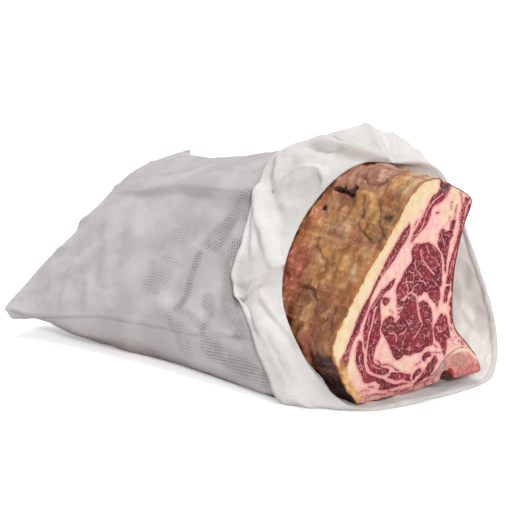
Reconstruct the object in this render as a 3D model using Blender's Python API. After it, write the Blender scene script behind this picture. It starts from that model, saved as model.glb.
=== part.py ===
"""Raw beef rib roast standing on its chine bone in a white cloth bag with a folded-out cuff.

Frame: +Z up, the bag's mouth and the cut face look along -Y, the crusted fat cap faces -X.
Every outline is drawn in millimetres from the lower left corner of the cut face (x along the
face, y into the bag, z up) and is moved into the part's own frame when its mesh is made.
"""
import math

import bmesh
import bpy
import numpy as np

MM = 0.001
# The cut face's lower left corner in the part's frame, whose origin is under the middle of the part.
FACE_CORNER = (-61.4, -316.8, 8.0)

# ---- driving dimensions, mm
ROAST_LENGTH = 312.0
END_ROUNDING = 34.0         # length over which the hidden rear end draws in
END_SHRINK = 0.26           # how much smaller the last section is
SECTION_CENTRE = (95.0, 130.0)
PIECE_GAP = 0.4             # clearance between pieces that touch
CLOTH_GAP = 0.6             # clearance between the roast and the cloth around it
CRUST_LUMP = 1.6            # height of the crust's soft lumps
FLOOR = -8.0                # underside of the bag
REST_BAND = 2.4             # cloth this close above the floor lies flat on it
CUFF_STEP = 4.0             # the cuff's thickness at its hem
WALL = 6.0                  # doubled cloth, from the cuff's outer face to the bag's inner face
MIN_COVER = 2.6             # least cloth outside the roast
INNER_END = 2.7             # how deep the open mouth reaches, in rows of the bag's net
AROUND = 4                  # mesh steps between two columns of the net
ALONG = 3                   # mesh steps between two rows of the net

# ---- the roast's cut face, (x, z)
CRUST_SIDE = ((-25, 60), (-28, 76), (-20, 97), (-6, 118), (16, 153), (44, 189),
              (68, 220), (86, 247), (104, 265), (122, 274), (139, 272.5))
SAWN_TOP = ((139, 272.5), (145, 269), (168, 257.5), (186, 247))
RIB_SIDE = ((186, 247), (193, 239), (191, 228), (180, 204), (171, 172), (166, 145),
            (164, 108), (168, 76), (188, 52), (204, 32))
CHINE_TIP = ((204, 32), (210.5, 19), (208, 9), (166, 7.5))
CANAL = ((166, 7.5), (161, 15), (153, 20), (146, 15), (143, 8))
FEATHER_BASE = ((143, 8), (120, 3.5), (95, 0.5), (70, -1.5))
FOOT = ((70, -1.5), (45, -3.5), (20, -4.5), (12, -3.5))
HEEL = ((12, -3.5), (-8, 22), (-19, 46), (-25, 60))
# Where the fat cap meets the lean, from the top down.
CAP_INSIDE = ((139, 272.5), (135, 259), (126, 246), (114, 230), (101, 217), (86, 218),
              (73, 204), (58, 183), (44, 160), (31, 138), (20, 119), (9, 100), (0, 83),
              (-9, 68), (-25, 60))
# Where the chine bone and the feather bone meet the meat, from right to left.
BONE_TOP = ((204, 32), (196, 41), (180, 46), (165, 43), (152, 36), (140, 24), (122, 12),
            (95, 6), (70, -1.5))

# ---- the bag's net, (x, y, z): one row around the bag for each station from mouth to closed end.
# Columns: floor left, side seam, three up the flank, crease, top left, top seam,
# right shoulder, right flank, right bulge, floor right, floor middle.
MOUTH_RIM = ((8, -16, -6), (-20, 34, 24), (-31, 78, 78), (-8, 130, 122), (28, 166, 172),
             (62, 179, 216), (112, 180, 264), (152, 118, 286), (212, 88, 263),
             (236, 42, 148), (282, 56, 48), (232, 6, -5), (110, -24, -6))
CUFF_CREST = ((-20, 20, -8), (-46, 62, 30), (-46, 112, 78), (-22, 172, 116), (12, 208, 164),
              (50, 230, 212), (98, 232, 273), (165, 186, 313), (220, 138, 280),
              (258, 100, 150), (290, 104, 48), (246, 60, -8), (110, 30, -8))
CUFF_HEM = ((-42, 70, -8), (-60, 96, 34), (-52, 146, 76), (-23, 214, 107), (7, 246, 156),
            (46, 275, 208), (90, 286, 262), (163, 236, 290), (218, 195, 258),
            (262, 160, 148), (282, 150, 48), (240, 120, -8), (110, 90, -8))
REAR_OF_ROAST = ((-54, 300, -8), (-82, 295, 48), (-60, 305, 88), (-28, 310, 128), (8, 312, 172),
                 (46, 305, 220), (96, 325, 248), (160, 340, 258), (212, 325, 220),
                 (240, 310, 120), (240, 300, 40), (205, 300, -8), (85, 300, -8))
SLACK_FRONT = ((-72, 400, -8), (-100, 398, 44), (-80, 408, 84), (-47, 418, 126),
               (-12, 425, 166), (30, 415, 205), (90, 428, 229), (155, 436, 236),
               (205, 425, 203), (232, 415, 110), (222, 405, 30), (185, 400, -8), (65, 400, -8))
SLACK_REAR = ((-92, 498, -4), (-122, 480, 34), (-100, 492, 72), (-66, 505, 112),
              (-26, 515, 150), (22, 510, 189), (84, 520, 210), (152, 540, 216),
              (190, 532, 188), (200, 512, 105), (165, 495, 24), (105, 490, -8), (15, 490, -8))
END_SWELL = ((-112, 556, 10), (-145, 545, 26), (-114, 562, 57), (-82, 575, 92), (-40, 582, 132),
             (12, 580, 172), (78, 588, 201), (152, 607, 208), (177, 602, 186),
             (140, 575, 110), (70, 560, 40), (0, 553, 10), (-62, 552, 4))
END_SEAM = ((-158, 578, 17), (-160, 579, 21), (-112, 612, 44), (-72, 622, 78), (-34, 620, 106),
            (10, 615, 148), (78, 620, 193), (185, 655, 204), (183, 655, 199),
            (78, 622, 188), (8, 617, 143), (-36, 622, 101), (-74, 624, 73))
BAG_NET = np.array((MOUTH_RIM, CUFF_CREST, CUFF_HEM, REAR_OF_ROAST,
                    SLACK_FRONT, SLACK_REAR, END_SWELL, END_SEAM), float)
HEM_ROW = 2                 # the cuff ends on this row of the net


# ---- curves

def spline(before, start, end, after, t):
    """The smooth curve from start to end that heads on to the points on both sides."""
    return 0.5 * (2 * start + (end - before) * t
                  + (2 * before - 5 * start + 4 * end - after) * t ** 2
                  + (3 * start - before - 3 * end + after) * t ** 3)


def smooth_line(corners, steps):
    """A smooth open curve through the corners, with so many steps between two of them."""
    line = np.array(corners, float)
    first = 2 * line[0] - line[1]
    last = 2 * line[-1] - line[-2]
    padded = np.vstack((first, line, last))
    points = []
    for index in range(len(line) - 1):
        for step in range(steps):
            points.append(spline(*padded[index:index + 4], step / steps))
    points.append(line[-1])
    return np.array(points)


def shifted(line, distance):
    """An open (x, z) line moved sideways, to the right of its direction, with its ends too."""
    heading = np.gradient(line, axis=0)
    heading /= np.linalg.norm(heading, axis=1)[:, None]
    side = np.stack((heading[:, 1], -heading[:, 0]), axis=1)
    return line + side * distance


def chain(*lines):
    """Joins lines that run head to tail into one closed outline, without its doubled corners."""
    return np.vstack([line[:-1] for line in lines])


# ---- the roast's sections

def crust_side(y, lump=CRUST_LUMP):
    """The crusted side's line at depth y, with soft lumps that die out at its two ends."""
    line = smooth_line(CRUST_SIDE, 3)
    share = np.linspace(0.0, 1.0, len(line))
    fade = np.sin(math.pi * share) * min(1.0, y / 40.0)
    wave = np.sin(9.0 * share + 0.021 * y) * np.cos(0.045 * y - 4.0 * share)
    return line + np.outer(wave * fade * lump, (-0.82, 0.57))


def end_scale(y):
    """How far a section has drawn in: 1 along the roast, less over the rounded rear end."""
    into_end = max(0.0, y - (ROAST_LENGTH - END_ROUNDING)) / END_ROUNDING
    return 1.0 - END_SHRINK * (1.0 - math.sqrt(max(0.0, 1.0 - into_end ** 2)))


def placed(section, y):
    """A section's (x, z) points as points in space, drawn in over the rear end."""
    centre = np.array(SECTION_CENTRE)
    drawn_in = centre + (section - centre) * end_scale(y)
    return np.column_stack((drawn_in[:, 0], np.full(len(section), y), drawn_in[:, 1]))


def fat_cap_section(y):
    return chain(crust_side(y), smooth_line(CAP_INSIDE, 2))


def meat_section(y):
    cap = shifted(smooth_line(CAP_INSIDE, 2)[::-1], PIECE_GAP)
    bone = shifted(smooth_line(BONE_TOP, 2), PIECE_GAP)
    top = smooth_line(SAWN_TOP, 1)
    ribs = smooth_line(RIB_SIDE, 3)
    outline = chain(cap, top[1:], ribs[:-1], bone[:-1], smooth_line(FOOT, 2)[1:],
                    smooth_line(HEEL, 2)[:-1])
    return outline


def bone_section(y):
    tip = smooth_line(CHINE_TIP, 1)
    canal = smooth_line(CANAL, 2)
    base = smooth_line(FEATHER_BASE, 1)
    top = smooth_line(BONE_TOP, 2)[::-1]
    return chain(tip, canal, base, top)


def whole_section(y):
    """The whole roast's outline, out to the cloth's clearance."""
    outline = chain(crust_side(y), smooth_line(SAWN_TOP, 1), smooth_line(RIB_SIDE, 3),
                    smooth_line(CHINE_TIP, 1), smooth_line(((166, 7.5), (143, 8)), 1),
                    smooth_line(FEATHER_BASE, 1), smooth_line(FOOT, 2), smooth_line(HEEL, 2))
    closed = np.vstack((outline[-1:], outline, outline[:1]))
    return shifted(closed, -CLOTH_GAP)[1:-1]


# ---- meshes

def material(name, colour, roughness):
    made = bpy.data.materials.new(name)
    made.use_nodes = True
    shader = made.node_tree.nodes["Principled BSDF"]
    shader.inputs["Base Color"].default_value = (*colour, 1.0)
    shader.inputs["Roughness"].default_value = roughness
    return made


def add_mesh(name, points, faces, finish=None):
    """An object from points in mm, with its faces turned outwards."""
    mesh = bpy.data.meshes.new(name)
    vertices = (np.asarray(points) + FACE_CORNER) * MM
    mesh.from_pydata(vertices.tolist(), [], faces)
    shape = bmesh.new()
    shape.from_mesh(mesh)
    bmesh.ops.recalc_face_normals(shape, faces=shape.faces)
    shape.to_mesh(mesh)
    shape.free()
    mesh.shade_smooth()
    mesh.set_sharp_from_angle(angle=math.radians(35))
    made = bpy.data.objects.new(name, mesh)
    bpy.context.scene.collection.objects.link(made)
    if finish is not None:
        mesh.materials.append(finish)
    return made


def tube_faces(rings, around):
    """Quads between each ring and the next, for rings of the same number of points."""
    faces = []
    for ring in range(rings - 1):
        for step in range(around):
            here = ring * around + step
            beside = ring * around + (step + 1) % around
            faces.append((here, beside, beside + around, here + around))
    return faces


def extruded(name, section, stations, finish=None):
    """A solid that runs through the food: its section at each depth, closed at both ends."""
    rings = [placed(section(y), y) for y in stations]
    around = len(rings[0])
    faces = tube_faces(len(rings), around)
    faces.append(tuple(range(around)))
    faces.append(tuple(range((len(rings) - 1) * around, len(rings) * around)))
    return add_mesh(name, np.vstack(rings), faces, finish)


def end_stations():
    """Depths along the rounded rear end."""
    start = ROAST_LENGTH - END_ROUNDING
    return [start + END_ROUNDING * share for share in (0.0, 0.45, 0.75, 0.93, 1.0)]


# ---- the bag

def net_ring(row):
    """A row of the net as a smooth closed ring."""
    count = len(row)
    points = []
    for column in range(count):
        corners = [row[(column + offset) % count] for offset in (-1, 0, 1, 2)]
        for step in range(AROUND):
            points.append(spline(*corners, step / AROUND))
    return np.array(points)


RINGS = np.array([net_ring(row) for row in BAG_NET])


def bag_ring(station):
    """The bag's outer ring at a station counted in rows of the net."""
    last = len(RINGS) - 1
    row = min(int(station), last - 1)
    before = RINGS[row - 1] if row > 0 else 2 * RINGS[0] - RINGS[1]
    after = RINGS[row + 2] if row + 2 <= last else 2 * RINGS[last] - RINGS[last - 1]
    ring = spline(before, RINGS[row], RINGS[row + 1], after, station - row)
    ring[:, 2] = np.maximum(ring[:, 2], FLOOR)
    return ring


def outward(station):
    """The direction out of the bag at each point of a ring."""
    ring = bag_ring(station)
    around = np.roll(ring, -1, axis=0) - np.roll(ring, 1, axis=0)
    top = len(RINGS) - 1
    along = bag_ring(min(station + 0.05, top)) - bag_ring(max(station - 0.05, 0.0))
    normal = np.cross(around, along)
    return normal / np.linalg.norm(normal, axis=1)[:, None]


def clear_of_roast(ring):
    """Moves a ring's points out to the least cover over the roast, or down flat on the floor."""
    kept = ring.copy()
    for index, (x, y, z) in enumerate(ring):
        depth = min(max(y, 0.0), ROAST_LENGTH)
        outline = placed(whole_section(depth), depth)[:, (0, 2)]
        start = outline
        edge = np.roll(outline, -1, axis=0) - start
        along = np.sum((np.array((x, z)) - start) * edge, axis=1) / np.sum(edge * edge, axis=1)
        nearest = start + edge * np.clip(along, 0.0, 1.0)[:, None]
        away = np.array((x, z)) - nearest
        distance = np.linalg.norm(away, axis=1)
        near = int(np.argmin(distance))
        normal = np.array((-edge[near, 1], edge[near, 0])) / np.linalg.norm(edge[near])
        outside = float(np.dot(away[near], normal))
        if outside < MIN_COVER and distance[near] < 12.0 and y < ROAST_LENGTH + 2.0:
            kept[index, 0] += normal[0] * (MIN_COVER - outside)
            kept[index, 2] += normal[1] * (MIN_COVER - outside)
    kept[kept[:, 2] < FLOOR + REST_BAND, 2] = FLOOR
    return kept


def bag_rings():
    """Rings from the depth of the open mouth out over the rim and back to the closed end."""
    rings = []
    inner_steps = int(INNER_END * ALONG)
    for step in range(inner_steps, 0, -1):
        station = step / ALONG
        wall = WALL * min(1.0, station * 1.5)
        ring = bag_ring(station) - outward(station) * wall
        ring[:, 2] = np.maximum(ring[:, 2], FLOOR + 2.0)
        rings.append(ring)
    for step in range(HEM_ROW * ALONG + 1):
        rings.append(clear_of_roast(bag_ring(step / ALONG)))
    last = len(BAG_NET) - 1
    for step in range(HEM_ROW * ALONG, last * ALONG + 1):
        station = step / ALONG
        under_cuff = CUFF_STEP * max(0.0, 1.0 - 1.5 * (station - HEM_ROW))
        station = max(station, HEM_ROW + 0.02)
        ring = bag_ring(station) - outward(station) * under_cuff
        rings.append(clear_of_roast(ring))
    return rings


def cloth_bag(finish, roast_space):
    """The bag as one closed body: open mouth, cuff with its hem step, and the roast's space."""
    rings = bag_rings()
    around = len(rings[0])
    points = np.vstack((rings[0].mean(axis=0)[None, :], *rings))
    faces = [tuple(index + 1 for index in face) for face in tube_faces(len(rings), around)]
    for step in range(around):
        faces.append((0, 1 + step, 1 + (step + 1) % around))
    first = 1 + (len(rings) - 1) * around
    faces += end_seam_faces(first, around)
    bag = add_mesh("cloth_bag", points, faces, finish)
    cut = bag.modifiers.new("roast_space", "BOOLEAN")
    cut.operation = "DIFFERENCE"
    cut.object = roast_space
    return bag


def end_seam_faces(first, around):
    """Closes the last ring along the end seam, from the low corner to the high one."""
    low = AROUND // 2
    half = around // 2
    faces = []
    for step in range(half):
        left = first + (low + step) % around
        left_next = first + (low + step + 1) % around
        right = first + (low - step) % around
        right_next = first + (low - step - 1) % around
        corners = []
        for corner in (left, left_next, right_next, right):
            if corner not in corners:
                corners.append(corner)
        if len(corners) > 2:
            faces.append(tuple(corners))
    return faces


def build():
    for item in list(bpy.data.objects):
        bpy.data.objects.remove(item, do_unlink=True)
    lean = material("lean_meat", (0.36, 0.06, 0.07), 0.45)
    fat = material("fat_and_crust", (0.62, 0.42, 0.26), 0.5)
    bone = material("chine_bone", (0.66, 0.50, 0.44), 0.55)
    cotton = material("white_cotton", (0.82, 0.81, 0.79), 0.9)
    rear = end_stations()
    extruded("rib_meat", meat_section, [0.0] + rear, lean)
    front = [40.0 * step for step in range(7)]
    extruded("fat_cap", fat_cap_section, front + rear, fat)
    extruded("chine_bone", bone_section, [0.0] + rear, bone)
    space = extruded("roast_space", whole_section, [-60.0] + front + rear)
    space.hide_render = True
    space.display_type = "WIRE"
    cloth_bag(cotton, space)


build()
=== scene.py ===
"""Looks of the raw beef rib roast in its cloth bag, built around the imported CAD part.

Outlines are in millimetres from the lower left corner of the cut face: x along the face,
y into the bag, z up. FACE_CORNER moves them into the part's frame.
"""
import math

import bpy
import numpy as np
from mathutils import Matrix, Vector, geometry, noise


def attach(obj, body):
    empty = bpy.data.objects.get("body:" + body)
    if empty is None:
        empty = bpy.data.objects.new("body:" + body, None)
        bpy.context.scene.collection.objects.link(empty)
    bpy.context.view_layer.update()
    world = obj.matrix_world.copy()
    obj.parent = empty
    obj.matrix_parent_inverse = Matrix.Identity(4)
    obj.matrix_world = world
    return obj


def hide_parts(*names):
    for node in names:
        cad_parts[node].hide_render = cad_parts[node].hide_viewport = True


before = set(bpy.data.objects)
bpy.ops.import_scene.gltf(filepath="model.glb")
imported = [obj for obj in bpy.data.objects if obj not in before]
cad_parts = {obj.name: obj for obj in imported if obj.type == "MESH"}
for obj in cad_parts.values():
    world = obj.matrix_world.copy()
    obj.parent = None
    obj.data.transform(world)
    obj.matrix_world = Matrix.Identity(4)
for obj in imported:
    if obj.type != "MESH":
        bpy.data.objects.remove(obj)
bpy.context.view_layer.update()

MM = 0.001
FACE_CORNER = np.array((-61.4, -316.8, 8.0))
FLOOR = -8.0
ROAST_LENGTH = 312.0
END_ROUNDING = 34.0
END_SHRINK = 0.26
SECTION_CENTRE = np.array((95.0, 130.0))
RNG = np.random.default_rng(7)

# ---- outlines of the roast, (x, z)
CRUST_SIDE = ((-25, 60), (-28, 76), (-20, 97), (-6, 118), (16, 153), (44, 189),
              (68, 220), (86, 247), (104, 265), (122, 274), (139, 272.5))
SAWN_TOP = ((139, 272.5), (145, 269), (168, 257.5), (186, 247))
RIB_SIDE = ((186, 247), (193, 239), (191, 228), (180, 204), (171, 172), (166, 145),
            (164, 108), (168, 76), (188, 52), (204, 32))
CHINE_TIP = ((204, 32), (210.5, 19), (208, 9), (166, 7.5))
CANAL = ((166, 7.5), (161, 15), (153, 20), (146, 15), (143, 8))
FEATHER_BASE = ((143, 8), (120, 3.5), (95, 0.5), (70, -1.5))
FOOT = ((70, -1.5), (45, -3.5), (20, -4.5), (12, -3.5))
HEEL = ((12, -3.5), (-8, 22), (-19, 46), (-25, 60))
BONE_TOP = ((204, 32), (196, 41), (180, 46), (165, 43), (152, 36), (140, 24), (122, 12),
            (95, 6), (70, -1.5))

# ---- lean on the cut face: closed outlines, (x, z)
LEAN = (
    # strip under the fat cap, lower and upper part
    ((-16, 50), (-15, 58), (-8, 68), (-1, 82), (5, 95), (12, 110), (20, 123), (29, 134), (35, 143),
     (37, 141), (31.5, 131), (29, 123), (25, 113), (20, 104), (14, 90), (8, 84), (3, 74), (-1, 64),
     (-3, 54), (-7, 44), (-12, 34), (-18, 38)),
    ((35, 144), (40, 152), (48, 164), (56, 178), (64, 188), (72, 200), (82, 212), (90, 218), (92, 221),
     (93, 212), (88, 200), (80, 192), (70, 178), (58, 166), (50, 158), (42, 148), (37, 141)),
    # top right strip up to the sawn edge
    ((95.5, 195), (96, 202), (100.5, 209), (107, 217), (114, 228), (121.7, 241), (129.4, 251),
     (136, 254), (139.4, 260), (140.5, 268), (143, 269.5), (156, 263), (157, 258), (154, 253),
     (150.5, 247), (140.5, 241), (129.4, 236.7), (124, 224), (118, 213), (109.4, 206.7), (101.7, 200)),
    # outer band round the bottom left
    ((12, 79), (9.4, 64.5), (9, 53), (11.7, 45.5), (16, 38), (20, 31), (21, 25.5), (25, 23), (29.4, 22),
     (39.4, 23), (44, 20), (47, 16.7), (45.5, 11), (57, 9), (73, 10), (80, 11), (95, 12), (95, 14),
     (80, 14.5), (70.5, 14.5), (60.5, 19), (52.8, 24), (45, 27), (36, 30.5), (28, 35.5), (24.4, 42),
     (22, 51), (21.7, 60), (19, 69), (19, 76.7)),
    # curved band inside the septum, with its upper lobe
    ((69, 152), (61.7, 148), (55, 143), (48, 139), (43, 133), (37, 127), (31.7, 119), (27, 111),
     (24.4, 102), (21, 93), (21, 84.5), (22, 73), (24, 67), (29.4, 78), (32.8, 86.7), (39.5, 91),
     (45.5, 89), (47, 91), (48, 100), (47, 117), (47, 126), (52.8, 134), (61.7, 139), (68, 145.5)),
    ((50, 130), (60.5, 128), (60, 122), (54, 119), (50, 124)),
    # inner dark lobe along the bottom
    ((39.5, 91), (45.5, 89), (47.8, 80), (44, 73), (40.5, 68), (38, 60), (36.7, 53), (37, 49),
     (40.5, 45.5), (47, 43), (50.5, 39.5), (61.7, 35.5), (59.5, 30), (50.5, 29.5), (41.7, 32),
     (34, 36.7), (29.4, 42), (27, 50), (26.7, 60), (27.8, 69), (29.4, 78), (32.8, 86.7)),
    ((60.5, 26.7), (66, 30.5), (80, 28), (93, 24), (96, 20), (80, 19), (72.8, 19), (66, 22), (60.5, 24.4)),
    # the eye
    ((102.5, 192.5), (112.5, 191), (121, 192), (130, 187.5), (136, 182.5), (141, 176), (143.8, 169),
     (145, 160), (145.6, 150), (145, 140), (144.4, 132.5), (141, 131), (143, 122.5), (142, 115),
     (138, 104), (135.6, 110), (131, 114), (126, 119), (121, 126), (116, 127.5), (112.5, 124),
     (109, 125), (107, 120), (109, 115), (115, 117.5), (120, 115), (125, 110), (129, 102.5),
     (130.6, 92.5), (131, 80), (132.5, 67.5), (132, 57.5), (125, 56), (120, 55), (115, 51),
     (107.5, 50), (100, 50), (95, 48), (86, 50), (81, 47), (76, 45), (71, 48), (66, 56), (61, 66),
     (56, 76), (50, 85), (48.8, 92.5), (52.5, 100), (60, 104), (65, 104), (69, 100), (75, 97.5),
     (75, 105), (81, 106), (73.8, 110), (73, 120), (73, 127.5), (71, 137.5), (74, 144), (79, 150),
     (84, 157.5), (89, 164), (95, 169), (97, 175), (95, 184), (99, 189)),
    # right of the eye
    ((145, 206.7), (140.5, 203), (139.4, 195.5), (137, 189), (139.4, 182), (144, 176.7), (147, 170),
     (149.4, 163), (151.7, 162), (154, 170), (156, 180), (157, 189), (161.7, 194.4), (162.8, 202),
     (166, 211), (166.7, 215.5), (161.7, 215.5), (158, 212), (157, 204), (151.7, 202), (148, 205.5)),
    ((149, 163), (149.5, 150), (152, 150), (152.5, 163)),
    ((151.7, 130), (149, 118), (148, 111), (151, 109), (154.4, 111), (155.5, 119), (159, 130)),
    # strips between the ribs
    ((180.5, 243), (180.5, 238), (176, 230), (173, 218), (172.8, 208), (169.4, 193), (166, 183),
     (161.7, 171), (157, 160), (155, 150), (152, 135), (160, 135), (161.7, 150), (164, 163),
     (167, 174), (171.7, 184), (176, 198), (177, 209), (180.5, 218), (182.8, 232), (189.4, 240)),
    ((165.5, 121), (162, 117), (158, 111), (158, 104), (161, 101), (158, 97), (160, 85.5), (162, 79),
     (165.5, 93), (164.4, 108)),
    # lower right
    ((144.4, 95.5), (140, 90), (135.6, 84), (132.8, 80), (134, 71), (136.7, 62), (142, 58),
     (145.5, 52), (147.8, 45.5), (150.5, 40), (153, 42), (154.4, 52), (155, 61), (160, 63),
     (159.4, 70), (156.7, 80), (154.4, 89), (152, 94.4), (150, 91), (147.8, 95.5)),
    ((115, 44.5), (117.8, 47.8), (124.4, 49.5), (129, 47), (129.4, 42), (123, 41), (120, 36.7), (115.5, 39)),
    ((134.4, 42), (139, 39), (140.5, 33), (137.8, 30), (134.4, 23), (130, 19), (127.8, 15.5),
     (120, 15.5), (114.4, 12), (104.4, 8.3), (101, 9.4), (106.7, 14.4), (112, 19), (117.8, 24.4),
     (123, 30), (124.4, 33), (129, 35.5)),
    ((110, 29.4), (114, 26.7), (112, 22), (104.4, 19), (102, 14.4), (99, 16.7), (100, 22), (104.4, 26.7)),
    ((88, 25), (96.7, 23), (95.5, 19), (99, 12), (93, 12), (88, 14.4)),
)
# thin lean streaks in the fat: (half width, points)
STREAKS = (
    (0.7, ((157, 220), (157.5, 215))), (0.8, ((168, 234), (166, 226), (165, 218))),
    (0.6, ((174, 250), (176, 240), (177, 233))), (0.9, ((134, 228.5), (138, 227.5))),
    (0.7, ((40.5, 50), (45, 48), (50.5, 43), (58, 42), (66, 39), (73, 33), (78, 30.5))),
    (0.5, ((132.8, 57.8), (139, 52))), (0.5, ((131, 46.7), (138, 45.5), (145.5, 44.4))),
    (0.8, ((161, 75), (163, 72))), (0.5, ((14, 10), (22, 14), (30, 12))), (0.4, ((18, 5), (27, 7), (38, 5))),
    (0.6, ((30, 17), (38, 16))), (0.4, ((50, 4), (64, 5), (78, 6))), (0.5, ((168, 150), (167, 138), (166, 122))),
    (2.1, ((188.5, 232), (185.5, 222), (181.3, 210), (178.3, 199), (174, 184), (169.9, 170), (166.4, 159),
           (164.3, 148), (163, 134), (162.5, 124))),
    (0.6, ((24, 3), (40, 6), (56, 3))), (0.7, ((60, 7), (76, 4), (92, 6))), (0.5, ((70, 1), (86, 2.5))),
    (0.6, ((104, 34), (112, 38))), (0.5, ((170, 70), (174, 62))), (0.5, ((176, 56), (184, 52))),
    (0.4, ((62, 112), (67, 108))), (0.4, ((105, 222), (99, 214))), (0.4, ((160, 240), (158, 230))),
)
# fat running through the lean: (half width, points)
VEINS = (
    (1.0, ((110, 182.5), (113, 171), (117.5, 165), (122.5, 159), (127.5, 154), (132.5, 149))),
    (0.8, ((119, 189), (122.5, 181), (124, 177))),
    (0.8, ((81, 144), (90, 145), (99, 143))), (0.7, ((105, 144), (115, 142.5), (120, 136))),
    (1.3, ((91, 129), (95, 130), (100, 128), (104.4, 124.4), (106, 117.5), (107.5, 107.5), (109.4, 97.5), (112.5, 90))),
    (0.6, ((76, 91), (86, 89))), (0.8, ((61, 82.5), (70, 80), (73, 75), (72.5, 71))),
    (0.7, ((77, 78), (85, 80), (89, 85))), (0.6, ((89, 75), (84, 70), (84, 64))), (0.6, ((95, 82.5), (100, 82.5))),
    (0.8, ((115, 87.5), (110, 80), (105, 74), (99, 69))), (0.7, ((120, 92), (126, 90), (130, 84))),
    (2.2, ((83, 123), (88, 126))), (1.4, ((74, 112), (80, 112.5))), (2.4, ((71, 97), (76, 101))),
    (2.2, ((120, 125), (125, 116), (131, 109), (135, 102.5))),
    (0.8, ((88, 127), (91, 136), (88, 142))), (0.7, ((96, 130), (101, 137), (108, 140))),
    (0.6, ((100, 160), (107, 156), (112, 148))), (0.6, ((92, 158), (99, 155))), (0.5, ((128, 172), (135, 168), (139, 160))),
    (0.6, ((104, 175), (101, 168), (103, 162))), (0.5, ((125, 143), (132, 140), (138, 133))),
    (0.5, ((80, 60), (88, 57), (94, 60))), (0.6, ((66, 66), (74, 62), (79, 56))), (0.5, ((102, 62), (110, 58), (118, 61))),
    (0.5, ((92, 96), (98, 92), (97, 88))), (0.5, ((118, 72), (124, 68), (128, 72))), (0.6, ((58, 90), (65, 92), (70, 88))),
    # the white septum of the spinal muscle
    (1.25, ((39.4, 119), (34, 98), (31, 90), (28.3, 80), (26.5, 70), (25, 62), (24.5, 53), (26, 44.5),
            (29.5, 38), (37, 32), (47, 28), (53, 25.5), (57, 22), (64, 19), (71.7, 15.5), (79.5, 16.7), (98, 12.5))),
    (0.8, ((101.7, 203), (112.8, 213), (117, 227), (122.8, 236.7), (129.4, 243), (137, 248), (146, 252))),
    (0.8, ((15, 92), (18, 104))), (0.6, ((48, 158), (60, 172), (66, 181))), (0.5, ((0, 66), (8, 80))),
    (0.8, ((137.8, 80), (143, 72), (150, 74.4))), (0.7, ((150, 67.8), (155.5, 63))), (0.7, ((150.5, 87.8), (152, 74))),
    (0.7, ((14, 60), (16, 50), (20, 42))), (0.6, ((33, 118), (40, 126), (48, 134))), (0.6, ((27, 98), (30, 108))),
    (0.6, ((30, 60), (32, 50), (38, 42), (48, 38))), (0.5, ((144, 200), (147, 190), (150, 176))),
    (0.6, ((176, 226), (174, 210), (171, 196))), (0.5, ((158, 146), (160, 158), (163, 168))),
)

# ---- crust features, (depth y, climb s), s measured up the crusted side from its foot
CHORD = np.array((0.4366, 0.8996))
CRACKS = (
    (3.0, 2.4, ((84, 254), (80, 243), (71, 230), (64, 216), (52, 208), (38, 205), (24, 198))),
    (1.8, 1.8, ((54, 255), (45, 243), (38, 235), (33, 226), (24, 216), (13, 210), (0, 209))),
    (1.6, 1.8, ((26, 106), (24, 92), (18, 80), (10, 74))),
    (3.0, 2.8, ((125, 120), (110, 118), (90, 118), (75, 112), (66, 106), (62, 92))),
    (3.0, 2.4, ((58, 298), (64, 286), (66, 278), (80, 271), (100, 276), (112, 283))),
    (1.6, 2.0, ((104, 250), (98, 236), (96, 222))),
    (1.6, 2.2, ((120, 176), (104, 168), (90, 160), (80, 148))),
)
PITS = ((114, 257, 10, 7.5, 9.0), (134, 255, 16, 5.5, 8.0), (150, 226, 6, 4.0, 5.0))

# ---- the bag's net, one row for each station from mouth to closed end
MOUTH_RIM = ((8, -16, -6), (-20, 34, 24), (-31, 82, 78), (-8, 138, 122), (30, 166, 172),
             (66, 170, 218), (108, 137, 271), (152, 105, 276), (210, 84, 258),
             (236, 42, 148), (282, 56, 48), (232, 6, -5), (110, -24, -6))
CUFF_CREST = ((-20, 20, -8), (-46, 62, 30), (-46, 112, 78), (-22, 172, 116), (12, 208, 164),
              (50, 230, 212), (98, 232, 273), (165, 186, 307), (212, 138, 268),
              (258, 100, 150), (290, 104, 48), (246, 60, -8), (110, 30, -8))
CUFF_HEM = ((-42, 70, -8), (-60, 96, 34), (-52, 146, 76), (-23, 214, 107), (7, 246, 156),
            (46, 275, 208), (90, 286, 262), (163, 236, 290), (210, 195, 247),
            (262, 160, 148), (282, 150, 48), (240, 120, -8), (110, 90, -8))
REAR_OF_ROAST = ((-54, 300, -8), (-82, 295, 48), (-60, 305, 88), (-28, 310, 128), (8, 312, 172),
                 (46, 305, 220), (96, 325, 248), (160, 340, 258), (212, 325, 220),
                 (240, 310, 120), (240, 300, 40), (205, 300, -8), (85, 300, -8))
SLACK_FRONT = ((-72, 400, -8), (-100, 398, 44), (-80, 408, 84), (-47, 418, 126),
               (-12, 425, 166), (30, 415, 205), (90, 428, 229), (155, 436, 236),
               (205, 425, 203), (232, 415, 110), (222, 405, 30), (185, 400, -8), (65, 400, -8))
SLACK_REAR = ((-92, 498, -4), (-122, 480, 34), (-100, 492, 72), (-66, 505, 112),
              (-26, 515, 150), (22, 510, 189), (84, 520, 210), (152, 540, 216),
              (190, 532, 188), (200, 512, 105), (165, 495, 24), (105, 490, -8), (15, 490, -8))
END_SWELL = ((-112, 556, 10), (-145, 545, 26), (-114, 562, 57), (-82, 575, 92), (-40, 582, 132),
             (12, 580, 172), (78, 588, 201), (152, 607, 208), (177, 602, 186),
             (140, 575, 110), (70, 560, 40), (0, 553, 10), (-62, 552, 4))
END_SEAM = ((-160, 578, 15), (-164, 579, 31), (-114, 611, 50), (-72, 622, 78), (-34, 620, 106),
            (10, 615, 148), (78, 620, 193), (185, 655, 204), (183, 655, 199),
            (78, 622, 188), (8, 617, 143), (-36, 622, 101), (-74, 624, 73))
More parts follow.
